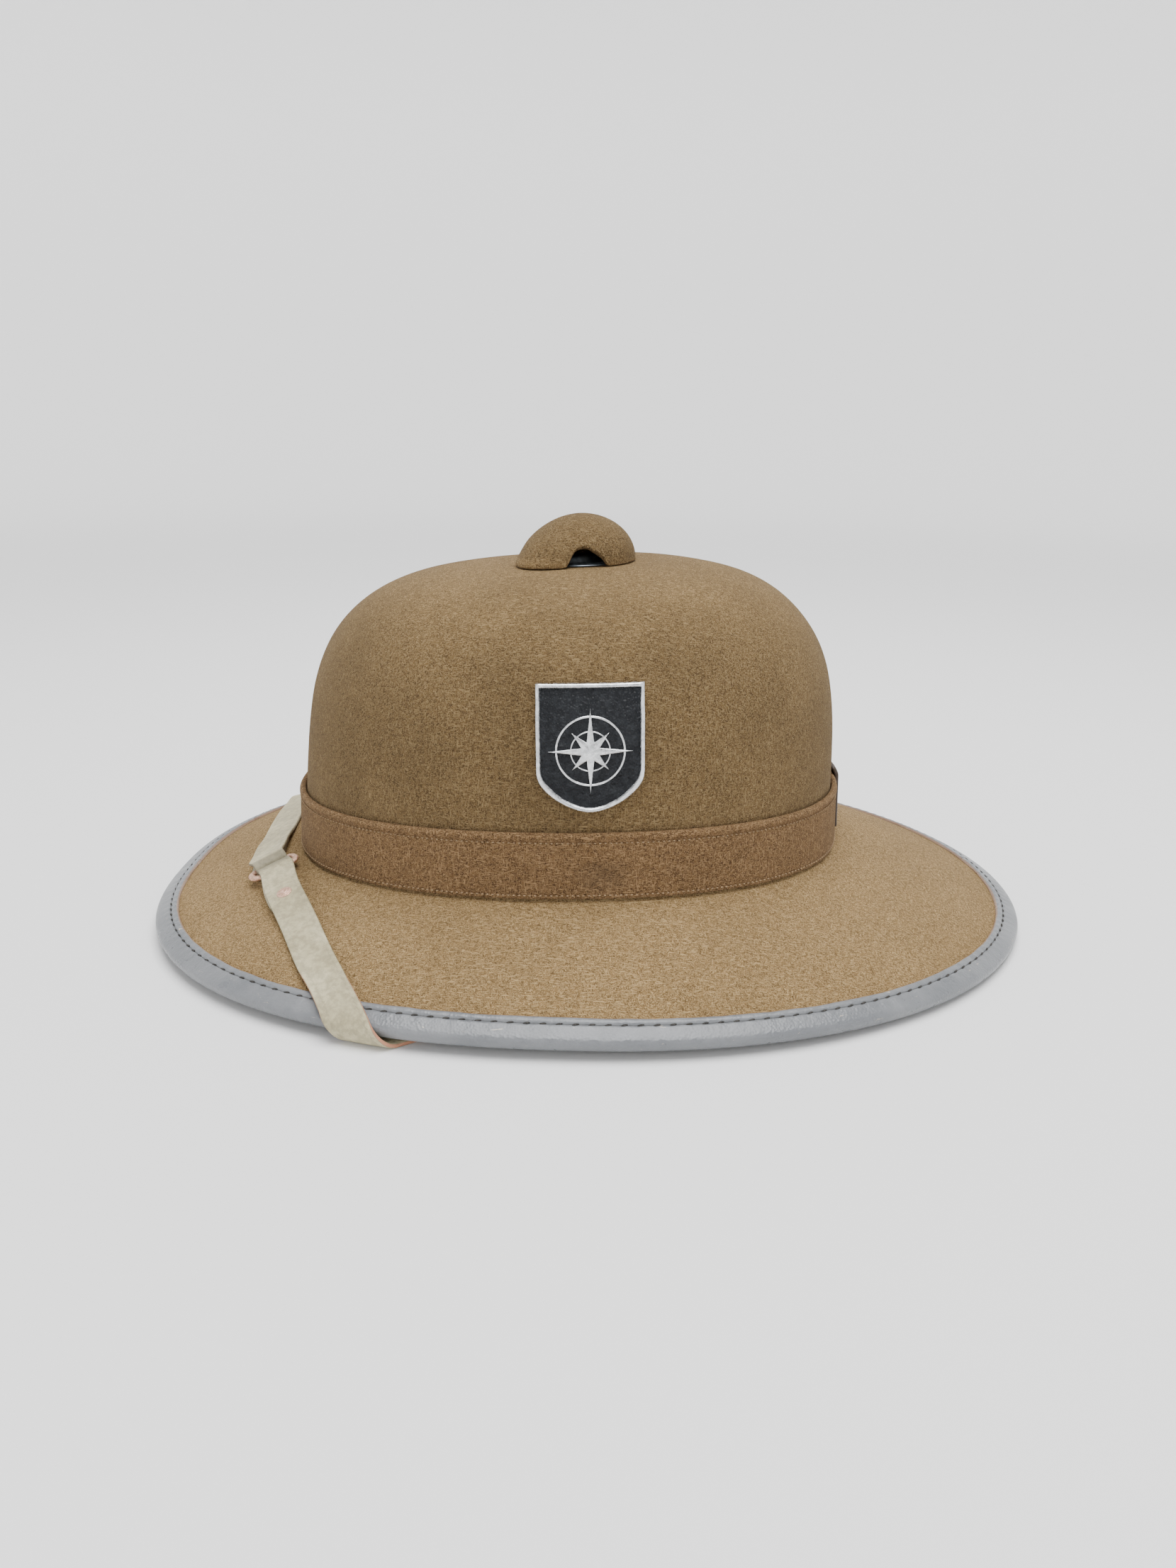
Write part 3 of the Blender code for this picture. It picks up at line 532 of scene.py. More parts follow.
def strap_leather():
    """Pale khaki hide, darkened round its fold as painted shade, with a pressed zigzag line by each edge and
    raw cuts at the rim.
    """
    finish, colour, rough, normal = leather("khaki_strap_leather", (0.34, 0.3, 0.185),
                                            (0.62, 0.562, 0.385), 0.62, 700, 0.0003)
    along, across, _ = finish.split(finish.own())
    mottle = finish.between(finish.noise(420, 5, 0.7), 0.38, 0.62, 0.84, 1.14)
    colour = finish.mix(1.0, colour, mottle, "MULTIPLY")
    zigzag = finish.math("PINGPONG", finish.scaled(along, 1 / 0.0022), 0.5)
    for middle in (0.002, STRAP_WIDTH - 0.002):
        offset = finish.math("SUBTRACT", across, middle)
        zigzag_line = finish.math("SUBTRACT", offset, finish.scaled(zigzag, 0.0011))
        line = finish.math("ABSOLUTE", zigzag_line)
        pressed = finish.between(line, 0.00012, 0.00034, 1.0, 0.0)
        normal = finish.bump(finish.scaled(pressed, -1), 0.00014, 0.6, before=normal)
        colour = finish.mix(finish.scaled(pressed, 0.16), colour, (0.25, 0.22, 0.16))
    sideways = finish.math("ABSOLUTE", finish.math("SUBTRACT", across, STRAP_WIDTH / 2))
    beyond = finish.math("SUBTRACT", sideways, STRAP_WIDTH / 2)
    colour = finish.mix(finish.between(beyond, 0.0001, 0.0003, 0.0, 0.7), colour, (0.17, 0.135, 0.085))
    colour = finish.mix(finish.between(beyond, 0.0005, 0.0009), colour, (0.42, 0.2, 0.12))
    # Painted shade: the strap darkened round the fold at the buckle, where shade falls.
    fold_shade = finish.between(finish.math("ABSOLUTE", along), 0.0012, 0.0042, 0.62, 0.0)
    colour = finish.mix(fold_shade, colour, (0.13, 0.115, 0.08))
    return finish.wear(colour, normal, rough, shine=0.35)


def metal(name, base, worn, roughness, scale=300, depth=0.00012):
    finish = Finish(name, roughness, 1.0)
    wear = finish.between(finish.noise(scale, 6, 0.65), 0.38, 0.62)
    colour = finish.mix(wear, base, worn)
    rough = finish.between(finish.noise(scale * 2.2, 4), 0.3, 0.7, roughness - 0.1, roughness + 0.15)
    return finish.wear(colour, finish.bump(finish.noise(scale * 3, 4), depth, 0.5), rough)


def thread(name, colour, dark):
    finish = Finish(name, 0.85)
    twist = finish.noise(2600, 2)
    return finish.wear(finish.mix(finish.between(twist, 0.35, 0.65), dark, colour),
                       finish.bump(twist, 0.0001, 0.6))


def field_paint():
    """Dark enamel over a pebbled ground."""
    finish = Finish("badge_field_enamel", 0.4)
    pebbles = finish.cells(1500, "SMOOTH_F1")
    patches = finish.between(finish.noise(420, 5), 0.4, 0.7)
    colour = finish.mix(patches, (0.004, 0.005, 0.007), (0.014, 0.016, 0.019))
    return finish.wear(colour, finish.bump(pebbles, 0.0006, 1.0), shine=0.22)


# Pieces

# Shares of the shell's rows at which its brim, its foot behind the band and its crown end
BRIM_END, FOOT_END, CROWN_END = 0.42, 0.48, 0.95
SHELL_COLUMNS, SHELL_ROWS = 224, 120


def shell_point(u, v):
    """The felt from the rim (v = 0) over the brim and crown to the edge of the vent hole (v = 1)."""
    angle = TURN * u
    loose = 0.0
    if v < BRIM_END:
        point = brim_point(angle, 1 - v / BRIM_END)
        loose = fade(v, 0.04, 0.1) * fade(BRIM_END - v, 0.03, 0.08)
    elif v < FOOT_END:
        point = head_line(angle, (v - BRIM_END) / (FOOT_END - BRIM_END))
    elif v < CROWN_END:
        point = crown_point(angle, SEAT_TURN * (v - FOOT_END) / (CROWN_END - FOOT_END))
        loose = fade(v, 0.5, 0.56) * fade(CROWN_END - v, 0.0, 0.1)
    else:
        edge = crown_point(angle, SEAT_TURN)
        x, y = round_vent(angle, VENT_HOLE_RADIUS)
        point = edge.lerp(Vector((x, y, vent_seat(x))), (v - CROWN_END) / (1 - CROWN_END))
    if loose:
        point.z += FELT_UNEVENNESS * loose * noise.noise(point * 30)
        push = FELT_UNEVENNESS * loose * noise.noise(point * 38 + UP)
        point += Vector((point.x, point.y, 0)).normalized() * push
    return point


def make_shell():
    """The crown and brim in one wall of felt; its material is given back for the vent cap."""
    shell = shaped_grid("felt_shell", SHELL_COLUMNS, SHELL_ROWS, shell_point)
    thicken(shell, FELT, 0)
    # Height bands of the felt: painted shade on the walls, painted light on the top, and a darker vent cap.
    material = felt("crown_felt_brushed", (0.092, 0.054, 0.021), (0.195, 0.121, 0.05), (0.45, 0.31, 0.15),
                    light_shade_and_tone_by_height=((0.028, 0.056, -0.43), (0.108, 0.134, 0.16), (0.1375, 0.141, -0.2)))
    dress(shell, material, "crown_felt", "shell", crease=60)
    return material


BAND_COLUMNS = 360
BAND_STITCHES = 340
BAND_THREAD = 0.00025

# Cross-section of the band, from its inner foot round the outside to its inner top: rise and depth
BAND_SECTION = [(0.0007, 0.0002), (0.0004, 0.001), (0.0006, 0.0019), (0.0012, 0.00215), (0.0019, 0.002),
                (0.0026, 0.0022), (0.006, 0.0023), (0.012, 0.0023), (0.018, 0.0023), (0.02, 0.0022),
                (0.0207, 0.00185), (0.0213, 0.0022), (0.0222, 0.0026), (0.0232, 0.0025), (0.024, 0.0017),
                (0.0239, 0.0006), (0.0232, 0.0002)]


def band_frame(angle, rise):
    """A place on the crown behind the band, and the way out from it."""
    share = rise / BAND_HEIGHT
    along = head_line(angle + NUDGE, share) - head_line(angle - NUDGE, share)
    return head_line(angle, share), along.normalized(), along.cross(UP).normalized()


def band_point(angle, rise, depth):
    point, _, out = band_frame(angle, rise)
    bulge = 0.00025 * noise.noise(point * 45)
    dent = 0.0007 * fade(0.011 - math.hypot(point.x - 0.003, (point.z - 0.041) * 1.2), 0.0, 0.011)
    if depth > 0.0015:
        depth += bulge - (dent if point.y < 0 else 0)
    return point + out * (depth + PROUD)


def make_band():
    samples = smooth_path([Vector((rise, depth, 0)) for rise, depth in BAND_SECTION], 47)
    samples.append(samples[0])

    def place(u, v):
        row = at(samples, v)
        return band_point(TURN * u, row.x, row.y)

    band = shaped_grid("hat_band_felt", BAND_COLUMNS, len(samples) - 1, place, closed=True)
    material = felt("band_felt_brushed", (0.05, 0.026, 0.011), (0.114, 0.064, 0.027), (0.32, 0.2, 0.1),
                    stain=((0.003, -0.086, 0.0415), (0.012, 0.02, 0.007), (0.06, 0.042, 0.026)))
    dress(band, material, "band_felt", "hat_band", crease=50)
    tan = thread("tan_thread", (0.38, 0.26, 0.14), (0.2, 0.13, 0.07))
    for name, rise, depth in (("band_upper_stitches", 0.0206, 0.0021),
                              ("band_lower_stitches", 0.0019, 0.0022)):
        row = stitch_row(name, BAND_STITCHES, BAND_THREAD, lambda a: band_stitch(a, rise, depth))
        dress(row, tan, "band_felt")


def band_stitch(angle, rise, depth):
    return (band_point(angle, rise, depth), *band_frame(angle, rise)[1:])


STITCH_SHARE = 0.5


def stitch_row(name, count, radius, frame_at):
    """Thread stitches sunk at both ends, spread evenly round the hat."""
    fine = 2000
    runs = running_lengths([frame_at(TURN * i / fine)[0] for i in range(fine + 1)])
    pitch = runs[-1] / count
    places, k = [], 0
    for i in range(count):
        while runs[k + 1] < (i + 0.5) * pitch:
            k += 1
        turn = TURN * (k + ((i + 0.5) * pitch - runs[k]) / (runs[k + 1] - runs[k])) / fine
        point, along, out = frame_at(turn)
        places.append(directions(along, out, point))
    bpy.ops.object.select_all(action="DESELECT")
    bpy.ops.mesh.primitive_uv_sphere_add(segments=8, ring_count=6, radius=1)
    stitch = bpy.context.object
    stitch.data.transform(Matrix.Diagonal((pitch * STITCH_SHARE / 2, radius, radius * 1.3, 1)))
    return copies(name, stitch, places)


def make_rear_tab():
    """A leather strip over the joint of the band."""
    back = 2 * GAP + BAND_THICKNESS + 0.0004
    low, high = TAB_LIFT, BAND_HEIGHT + TAB_OVERHANG

    def place(u, v):
        y = TAB_WIDTH * (u - 0.5)
        rise = blend(low, high, v)
        line = head_line(y / (HEAD_WIDTH / 2), rise / BAND_HEIGHT)
        pull = 0.0012 * fade(rise, BAND_HEIGHT, high)
        return Vector((line.x + back + TAB_THICKNESS - pull - 0.0003, y, line.z))

    tab = shaped_grid("rear_tab_leather", 10, 20, place)
    thicken(tab, TAB_THICKNESS, 1)
    finish, colour, rough, normal = leather("brown_tab_leather", (0.034, 0.022, 0.015),
                                            (0.075, 0.05, 0.035), 0.5)
    dress(tab, finish.wear(colour, normal, rough), "brown_leather", "rear_tab")


def binding_frame(angle):
    edge = brim_edge(angle)
    inward = (brim_point(angle, binding_share(angle)) - edge).normalized()
    along = (brim_edge(angle + NUDGE) - brim_edge(angle - NUDGE)).normalized()
    return edge, inward, along, along.cross(inward).normalized()


BINDING_STITCHES = 188
BINDING_THREAD = 0.00042
STITCH_DEPTH = 0.0058

# Places across the unrolled binding, as shares: its seam and its raw inner edge
SEAM_LINE = 29 / 39
RAW_EDGE = 32.6 / 39


def make_binding():
    """Leather folded over the rim and sewn through, gathered a little at each stitch."""
    skin = PROUD + BINDING_LEATHER
    radius = FELT / 2 + GAP + BINDING_LEATHER
    outline = [(BINDING_DEPTH, -FELT - PROUD), (BINDING_DEPTH, -FELT - skin + 0.0003),
               (BINDING_DEPTH - 0.0003, -FELT - skin), (STITCH_DEPTH + 0.0006, -FELT - skin - 0.0001),
               (STITCH_DEPTH, -FELT - skin + 0.00025), (STITCH_DEPTH - 0.0007, -FELT - skin - 0.0002)]
    steps = 20
    for i in range(steps + 1):
        turn = pi * i / steps - pi / 2
        outline.append((radius - GAP - BINDING_LEATHER - radius * rounded(cos(turn), BINDING_FULLNESS),
                        -FELT / 2 + radius * rounded(sin(turn), BINDING_FULLNESS)))
    outline += [(STITCH_DEPTH - 0.001, skin + 0.0002), (STITCH_DEPTH - 0.0004, skin + 0.0001),
                (STITCH_DEPTH, skin - 0.0003), (STITCH_DEPTH + 0.0004, skin + 0.0001),
                (STITCH_DEPTH + 0.0011, skin + 0.00025), (BINDING_DEPTH - 0.0006, skin + 0.0001),
                (BINDING_DEPTH - 0.0001, skin - 0.0003), (BINDING_DEPTH, PROUD)]
    outline += [(BINDING_DEPTH / 2, PROUD), (-PROUD, PROUD), (-PROUD, -FELT - PROUD),
                (BINDING_DEPTH / 2, -FELT - PROUD), (BINDING_DEPTH, -FELT - PROUD)]

    def place(u, v):
        angle = TURN * u
        edge, inward, _, normal = binding_frame(angle)
        reach, rise = at(outline, v)
        if rise > GAP:
            gather = 0.5 + 0.5 * cos(TURN * BINDING_STITCHES * u)
            rise += 0.00022 * gather * fade(reach, 0.003, 0.0052) * fade(0.0085 - reach, -0.0002, 0.001)
            reach += 0.0003 * noise.noise(edge * 120) * fade(reach, 0.007, 0.0082)
        point = edge + inward * reach + normal * rise
        point.z = max(point.z, 0.0)
        return point

    binding = shaped_grid("brim_binding_leather", 4 * BINDING_STITCHES, len(outline) - 1, place, closed=True)
    dress(binding, binding_leather(), "grey_leather", "brim_binding", crease=60)
    dark = thread("dark_thread", (0.05, 0.046, 0.04), (0.012, 0.011, 0.01))

    def stitch_at(angle, sign):
        edge, inward, along, normal = binding_frame(angle)
        rise = skin - 0.00008 if sign > 0 else -FELT - skin + 0.00008
        return edge + inward * STITCH_DEPTH + normal * rise, along + inward * 0.22, normal * sign

    for name, sign in (("binding_top_stitches", 1), ("binding_under_stitches", -1)):
        row = stitch_row(name, BINDING_STITCHES, BINDING_THREAD, lambda a: stitch_at(a, sign))
        dress(row, dark, "grey_leather")


def cap_surface(angle, turn):
    """A point on the outside of the vent cap."""
    wide, high = rounded(cos(turn), CAP_FULLNESS), rounded(sin(turn), CAP_FULLNESS)
    reach = (CAP_RADIUS + (cap_radius(angle) - CAP_RADIUS) * (1 - high)) * wide
    x, y = round_vent(angle, reach)
    foot = blend(vent_seat(round_vent(angle, cap_radius(angle))[0]), vent_seat(x), high)
    return Vector((x, y, foot + CAP_FOOT + (CAP_HEIGHT - CAP_FOOT) * high)), reach, high


# Half widths of the arch to the front and to the rear of its top, and how square each side is
ARCH_FRONT, ARCH_REAR = (0.0062, 2.6), (0.0092, 1.15)


def arch_height(across):
    """Height of the opening over the cap's foot, at a distance along its width."""
    half, square = ARCH_REAR if across > 0 else ARCH_FRONT
    share = min(1.0, abs(across) / half)
    return ARCH_HEIGHT * (1 - share ** square) ** (1 / max(1.2, square))


def make_vent_cap(material):
    def place(u, v):
        angle = TURN * u

        def below(turn):
            point, reach, _ = cap_surface(angle, turn)
            across = reach * sin(angle - ARCH_TURN)
            opening = arch_height(across) if cos(angle - ARCH_TURN) > 0 else 0.0
            return point.z - vent_seat(point.x) < opening
        low = halved(0.0, pi / 2, below) if below(0.0) else 0.0
        if low == 0.0 and v < 0.08:
            point = cap_surface(angle, 0.0)[0]
            point.z = blend(vent_seat(point.x) + 0.0002, point.z, v / 0.08)
            return point
        start = 0.08 if low == 0.0 else 0.0
        share = (v - start) / (1 - start)
        point = cap_surface(angle, blend(low, pi / 2, share ** 0.9))[0]
        return point + (point - Vector((VENT_X, VENT_Y, point.z))) * 0.01 * noise.noise(point * 90)

    cap = shaped_grid("vent_cap_felt", 120, 26, place)
    thicken(cap, CAP_FELT, 1)
    dress(cap, material, "crown_felt", "vent_cap", crease=60)


def make_vent_ring():
    """The eyelet under the cap: a rolled flange and a barrel through the felt."""
    barrel, depth = VENT_HOLE_RADIUS - GAP, FELT + RING_PROUD
    low, high = GAP / 2, GAP / 2 + RING_METAL
    profile = [(barrel - RING_METAL, -depth), (barrel, -depth), (barrel, low), (FLANGE_RADIUS - 0.0002, low),
               (FLANGE_RADIUS, (low + high) / 2), (FLANGE_RADIUS - 0.0002, high),
               (blend(barrel, FLANGE_RADIUS, 0.5), high + 0.0004), (barrel, high + 0.0002),
               (barrel - RING_METAL, low), (barrel - RING_METAL, -depth)]

    def place(u, v):
        radius, rise = at(profile, v)
        x, y = round_vent(TURN * u, radius)
        return Vector((x, y, vent_seat(x) + rise))

    ring = shaped_grid("vent_ring_metal", 64, len(profile) - 1, place, closed=True)
    soften(ring, 1)
    dress(ring, metal("dull_zinc", (0.2, 0.23, 0.26), (0.3, 0.34, 0.36), 0.45), "zinc", "vent_ring")


def shield_reach(angle):
    half, top = BADGE_WIDTH / 2, BADGE_HEIGHT / 2
    shoulder = -BADGE_SHOULDER * top
    c, s = cos(angle), sin(angle)

    def inside(reach):
        u, v = abs(reach * c), reach * s
        depth = (1 - min(1.0, u / half) ** BADGE_FULLNESS) ** (1 / BADGE_FULLNESS)
        return u < half and shoulder - (top + shoulder) * depth < v < top
    return halved(0.0, BADGE_HEIGHT, inside)


def crown_patch(middle_x, middle_z):
    """The crown's outside round the badge, as a smooth function of X and Z."""
    powers = [(a, b) for a in range(5) for b in range(5 - a)]
    rows, depths = [], []
    for i in range(-3, 4):
        for j in range(-3, 4):
            x, z = i * BADGE_WIDTH / 6, j * BADGE_HEIGHT / 6
            rows.append([x ** a * z ** b for a, b in powers])
            depths.append(crown_side(middle_x + x, middle_z + z))
    scale = np.abs(np.array(rows)).max(axis=0)
    terms = np.linalg.lstsq(np.array(rows) / scale, np.array(depths), rcond=None)[0] / scale
    return lambda x, z: float(sum(t * (x - middle_x) ** a * (z - middle_z) ** b
                                  for t, (a, b) in zip(terms, powers)))


def make_badge():
    """A cast shield bent to the crown: bright rim, dark pebbled field and a compass star on a fine ring."""
    middle_x = HEAD_OFFSET + BADGE_SHIFT
    foot = head_line(radians(270), 1).z
    middle_z = foot + (CROWN_HEIGHT - foot) * BADGE_PLACE
    side_at = crown_patch(middle_x, middle_z)
    cos_tilt, sin_tilt = cos(BADGE_TILT), sin(BADGE_TILT)

    def laid(u, v, depth):
        x = middle_x + u * cos_tilt - v * sin_tilt
        z = middle_z + u * sin_tilt + v * cos_tilt
        return Vector((x, side_at(x, z) - BADGE_GAP - depth, z))

    corner = math.atan2(BADGE_HEIGHT, BADGE_WIDTH)
    marks = [corner, pi - corner, pi * 1.5, TURN + corner]
    counts = [40, 60, 60]
    angles = []
    for a, b, count in zip(marks, marks[1:], counts):
        angles += [blend(a, b, i / count) for i in range(count)]
    angles.append(marks[-1])
    reaches = [shield_reach(a % TURN) for a in angles]
    for _ in range(SHOULDER_ROUNDING):
        for k in range(counts[0] + 6, len(angles) - 6):
            reaches[k] = (reaches[k - 1] + 2 * reaches[k] + reaches[k + 1]) / 4
    field = BADGE_PLATE
    top = field + BADGE_RIM_RAISE
    wide = BADGE_RIM_WIDTH

    def polar(name, levels):
        """Levels hold a depth and either an inset from the outline or, as a share, a part of the reach."""
        def place(u, v):
            k = round(u * (len(angles) - 1))
            depth, inset, share = at(levels, v)
            corner_room = 1 / max(abs(cos(angles[k])), abs(sin(angles[k])))
            reach = (reaches[k] - inset * min(1.35, corner_room)) * share
            return laid(reach * cos(angles[k]), reach * sin(angles[k]), depth)
        return shaped_grid(name, len(angles) - 1, len(levels) - 1, place, closed=True)

    edges = [(0.0, wide * 1.4), (0.0, 0.0003), (0.0003, 0), (top - 0.0006, 0), (top - 0.0002, 0.0001),
             (top, 0.0004), (top, wide - 0.0004), (top - 0.0002, wide - 0.0001), (field, wide + 0.0002),
             (field - 0.0004, wide + 0.0004), (0.0, wide * 1.4)]
    rim = polar("badge_rim_silver", [(*edge, 1) for edge in edges])
    silver = metal("cast_silver", (0.74, 0.75, 0.76), (0.5, 0.51, 0.52), 0.28, 420)
    dress(rim, silver, "cast_metal", "shield_badge", crease=50)
    rings = [(0.0002, wide, share) for share in (0.0, 0.5, 1.0)]
    rings += [(field, wide - 0.0002, share) for share in (1.0, 0.85, 0.7, 0.55, 0.4, 0.25, 0.1, 0.0)]
    plate = polar("badge_field", rings)
    dress(plate, field_paint(), "cast_metal", "shield_badge", crease=50)

    lift = -0.0006
    points = []
    for k in range(16):
        reach = BADGE_STAR_RADIUS * (1.0, 0.235, 0.62, 0.235)[k % 4]
        points.append((reach * cos(pi * k / 8), reach * sin(pi * k / 8)))

    def star_place(u, v):
        k = round(u * 16) % 16
        share, depth = ((1.0, -0.0003), (1.0, 0.25), (0.93, 0.42), (0.0, 1.0))[round(v * 3)]
        height = field + BADGE_STAR_RAISE * depth if depth > 0 else field - 0.0003
        return laid(points[k][0] * share, points[k][1] * share + lift, height)

    star = shaped_grid("badge_star", 16, 3, star_place, closed=True)
    finish_with(star, "BEVEL", width=0.00012, segments=2, limit_method="ANGLE", angle_limit=radians(25))
    dress(star, silver, "cast_metal", "shield_badge", crease=20)

    def hoop(name, radius, wire):
        def place(u, v):
            reach = radius + wire * cos(TURN * v)
            return laid(reach * cos(TURN * u), reach * sin(TURN * u) + lift,
                        field + wire * 0.6 * sin(TURN * v))
        dress(shaped_grid(name, 96, 8, place, closed=True), silver, "cast_metal", "shield_badge")

    hoop("badge_ring", BADGE_STAR_RADIUS * 0.8, 0.00035)
    hoop("badge_inner_ring", BADGE_STAR_RADIUS * 0.46, 0.00022)


# Straps

def on_brim(centre, half, normal, lift):
    ends = []
    for sign in (-1, 1):
        place = centre + half * sign
        ends.append(Vector((place.x, place.y, brim_height(place.x, place.y))) + normal * lift)
    return (ends[0] + ends[1]) / 2, (ends[1] - ends[0]) / 2


def along_brim(direction, normal):
    """A floor direction tipped so that it follows the brim's slope."""
    return Vector((direction.x, direction.y, -(direction.x * normal.x + direction.y * normal.y) / normal.z))


def buckle_frame():
    origin = brim_point(BUCKLE_ANGLE, BUCKLE_SHARE)
    up = brim_normal(origin.x, origin.y)
    bar = Vector((cos(BUCKLE_TURN), sin(BUCKLE_TURN), 0))
    bar = (bar - up * bar.dot(up)).normalized()
    return origin, bar, up.cross(bar), up


def wrap_rows(angle, skew):
    """Rows of a strap folded round the rim, with its headings before and after."""
    edge = brim_edge(angle)
    ahead = brim_edge(angle + NUDGE) - edge
    tangent = Vector((ahead.x, ahead.y, 0)).normalized()
    out = tangent.cross(UP)
    inward = brim_point(angle, binding_share(angle)) - edge
    slope = math.atan2(inward.z, math.hypot(inward.x, inward.y))
    core = FELT / 2 + GAP + BINDING_LEATHER
    reach = core * math.sqrt(2) ** (1 - 2 / BINDING_FULLNESS) + 2 * GAP
    centre_out = -FELT / 2 * (cos(slope) + sin(slope))
    centre_up = edge.z + FELT / 2 * (sin(slope) - cos(slope))
    top = pi / 2 - slope
    profile = []
    for run in (1.0, 0.75, 0.5, 0.25):
        run *= WRAP_RUN
        profile.append((centre_out + reach * cos(top) - run * cos(slope),
                        centre_up + reach * sin(top) + run * sin(slope), top))
    steps = 16
    for i in range(steps + 1):
        turn = top - (top + pi / 2) * i / steps
        drop = reach if turn >= 0 else centre_up - STRAP_LEATHER
        profile.append((centre_out + reach * cos(turn), centre_up + drop * sin(turn), turn))
    for run in (0.5, 1.0):
        profile.append((centre_out - run * WRAP_RUN, STRAP_LEATHER, -pi / 2))
    runs = running_lengths([Vector(row[:2]) for row in profile])
    middle = (runs[10] + runs[11]) / 2
    half = tangent * (STRAP_WIDTH / 2 / cos(skew))
    rows = []
    for (outward, height, turn), run in zip(profile, runs):
        centre = Vector((edge.x, edge.y, 0)) + out * outward + UP * height
        centre += tangent * (run - middle) * math.tan(skew)
        rows.append((centre, half, out * cos(turn) + UP * sin(turn)))
    before = out * cos(skew) + tangent * sin(skew)
    after = tangent * sin(skew) - out * cos(skew)
    return rows, before, after


def laid_lift(run, total):
    doubled = STRAP_GAP + STRAP_LEATHER + GAP
    stops = [(0.0, doubled + 2 * BAR_INSIDE - 2 * GAP), (STRAP_RAMP, doubled + 2 * GAP),
             (STRAP_RETURN, doubled), (STRAP_RETURN + STRAP_RAMP, STRAP_GAP), (total - STRAP_RAMP, STRAP_GAP),
             (total, GAP + BINDING_LEATHER + STRAP_GAP)]
    for (run_a, lift_a), (run_b, lift_b) in zip(stops, stops[1:]):
        if run <= run_b:
            break
    return blend(lift_a, lift_b, min(1, (run - run_a) / (run_b - run_a)))


def laid_rows(points, first_half, last_half, count):
    path = smooth_path(points, count)
    runs = running_lengths(path)
    rows = []
    for i, (place, run) in enumerate(zip(path, runs)):
        normal = brim_normal(place.x, place.y)
        ahead = along_brim(path[min(i + 1, count)] - path[max(i - 1, 0)], normal)
        half = along_brim(first_half.lerp(last_half, i / count), normal)
        across = normal.cross(ahead).normalized()
        half *= STRAP_WIDTH / 2 / abs(half.dot(across))
        rows.append((*on_brim(place, half, normal, laid_lift(run, runs[-1])), normal))
    return rows, runs


def hanging_rows(points, normals, first_half, count):
    path = smooth_path(points, count)
    turned = smooth_path(normals, count)
    side = math.copysign(1, normals[0].cross(points[1] - points[0]).dot(first_half))
    rows = []
    for i, place in enumerate(path):
        ahead = (path[min(i + 1, count)] - path[max(i - 1, 0)]).normalized()
        normal = (turned[i] - ahead * turned[i].dot(ahead)).normalized()
        across = normal.cross(ahead) * side
        half = first_half.lerp(across * STRAP_WIDTH / 2, min(1, 3 * i / count))
        half *= STRAP_WIDTH / 2 / half.dot(across)
        rows.append((place, half, normal))
    return rows


def anchor_place(side):
    angle = ANCHOR_ANGLE * side
    along = head_line(angle - NUDGE * side, ANCHOR_SHARE) - head_line(angle + NUDGE * side, ANCHOR_SHARE)
    inward = along.cross(UP).normalized() * side
    heading = (along.normalized() + UP * math.sqrt(3)) / 2
    return head_line(angle, ANCHOR_SHARE) + inward * (FELT + ANCHOR_SLACK), inward, heading.normalized()


# Right half of the strap's cross-section, from below to above, as shares of its half width and thickness
STRAP_HALF = [(0.0, 0.0), (0.5, 0.0), (0.93, 0.0), (0.985, 0.18), (1.0, 0.5), (0.985, 0.82), (0.93, 0.98),
              (0.86, 1.0), (0.78, 0.97), (0.4, 1.0), (0.0, 1.02)]
LEFT_HALF = [(-across, deep) for across, deep in STRAP_HALF[::-1]]
STRAP_SECTION = LEFT_HALF[6:10] + STRAP_HALF + LEFT_HALF[1:7]


def evened(rows):
    """Rows of a strap with the small kinks taken out, its two ends kept."""
    for _ in range(STRAP_SMOOTHING):
        middle = [tuple((a + b * 2 + c) / 4 for a, b, c in zip(before, here, after))
                  for before, here, after in zip(rows, rows[1:], rows[2:])]
        rows = [rows[0]] + middle + [rows[-1]]
    return rows


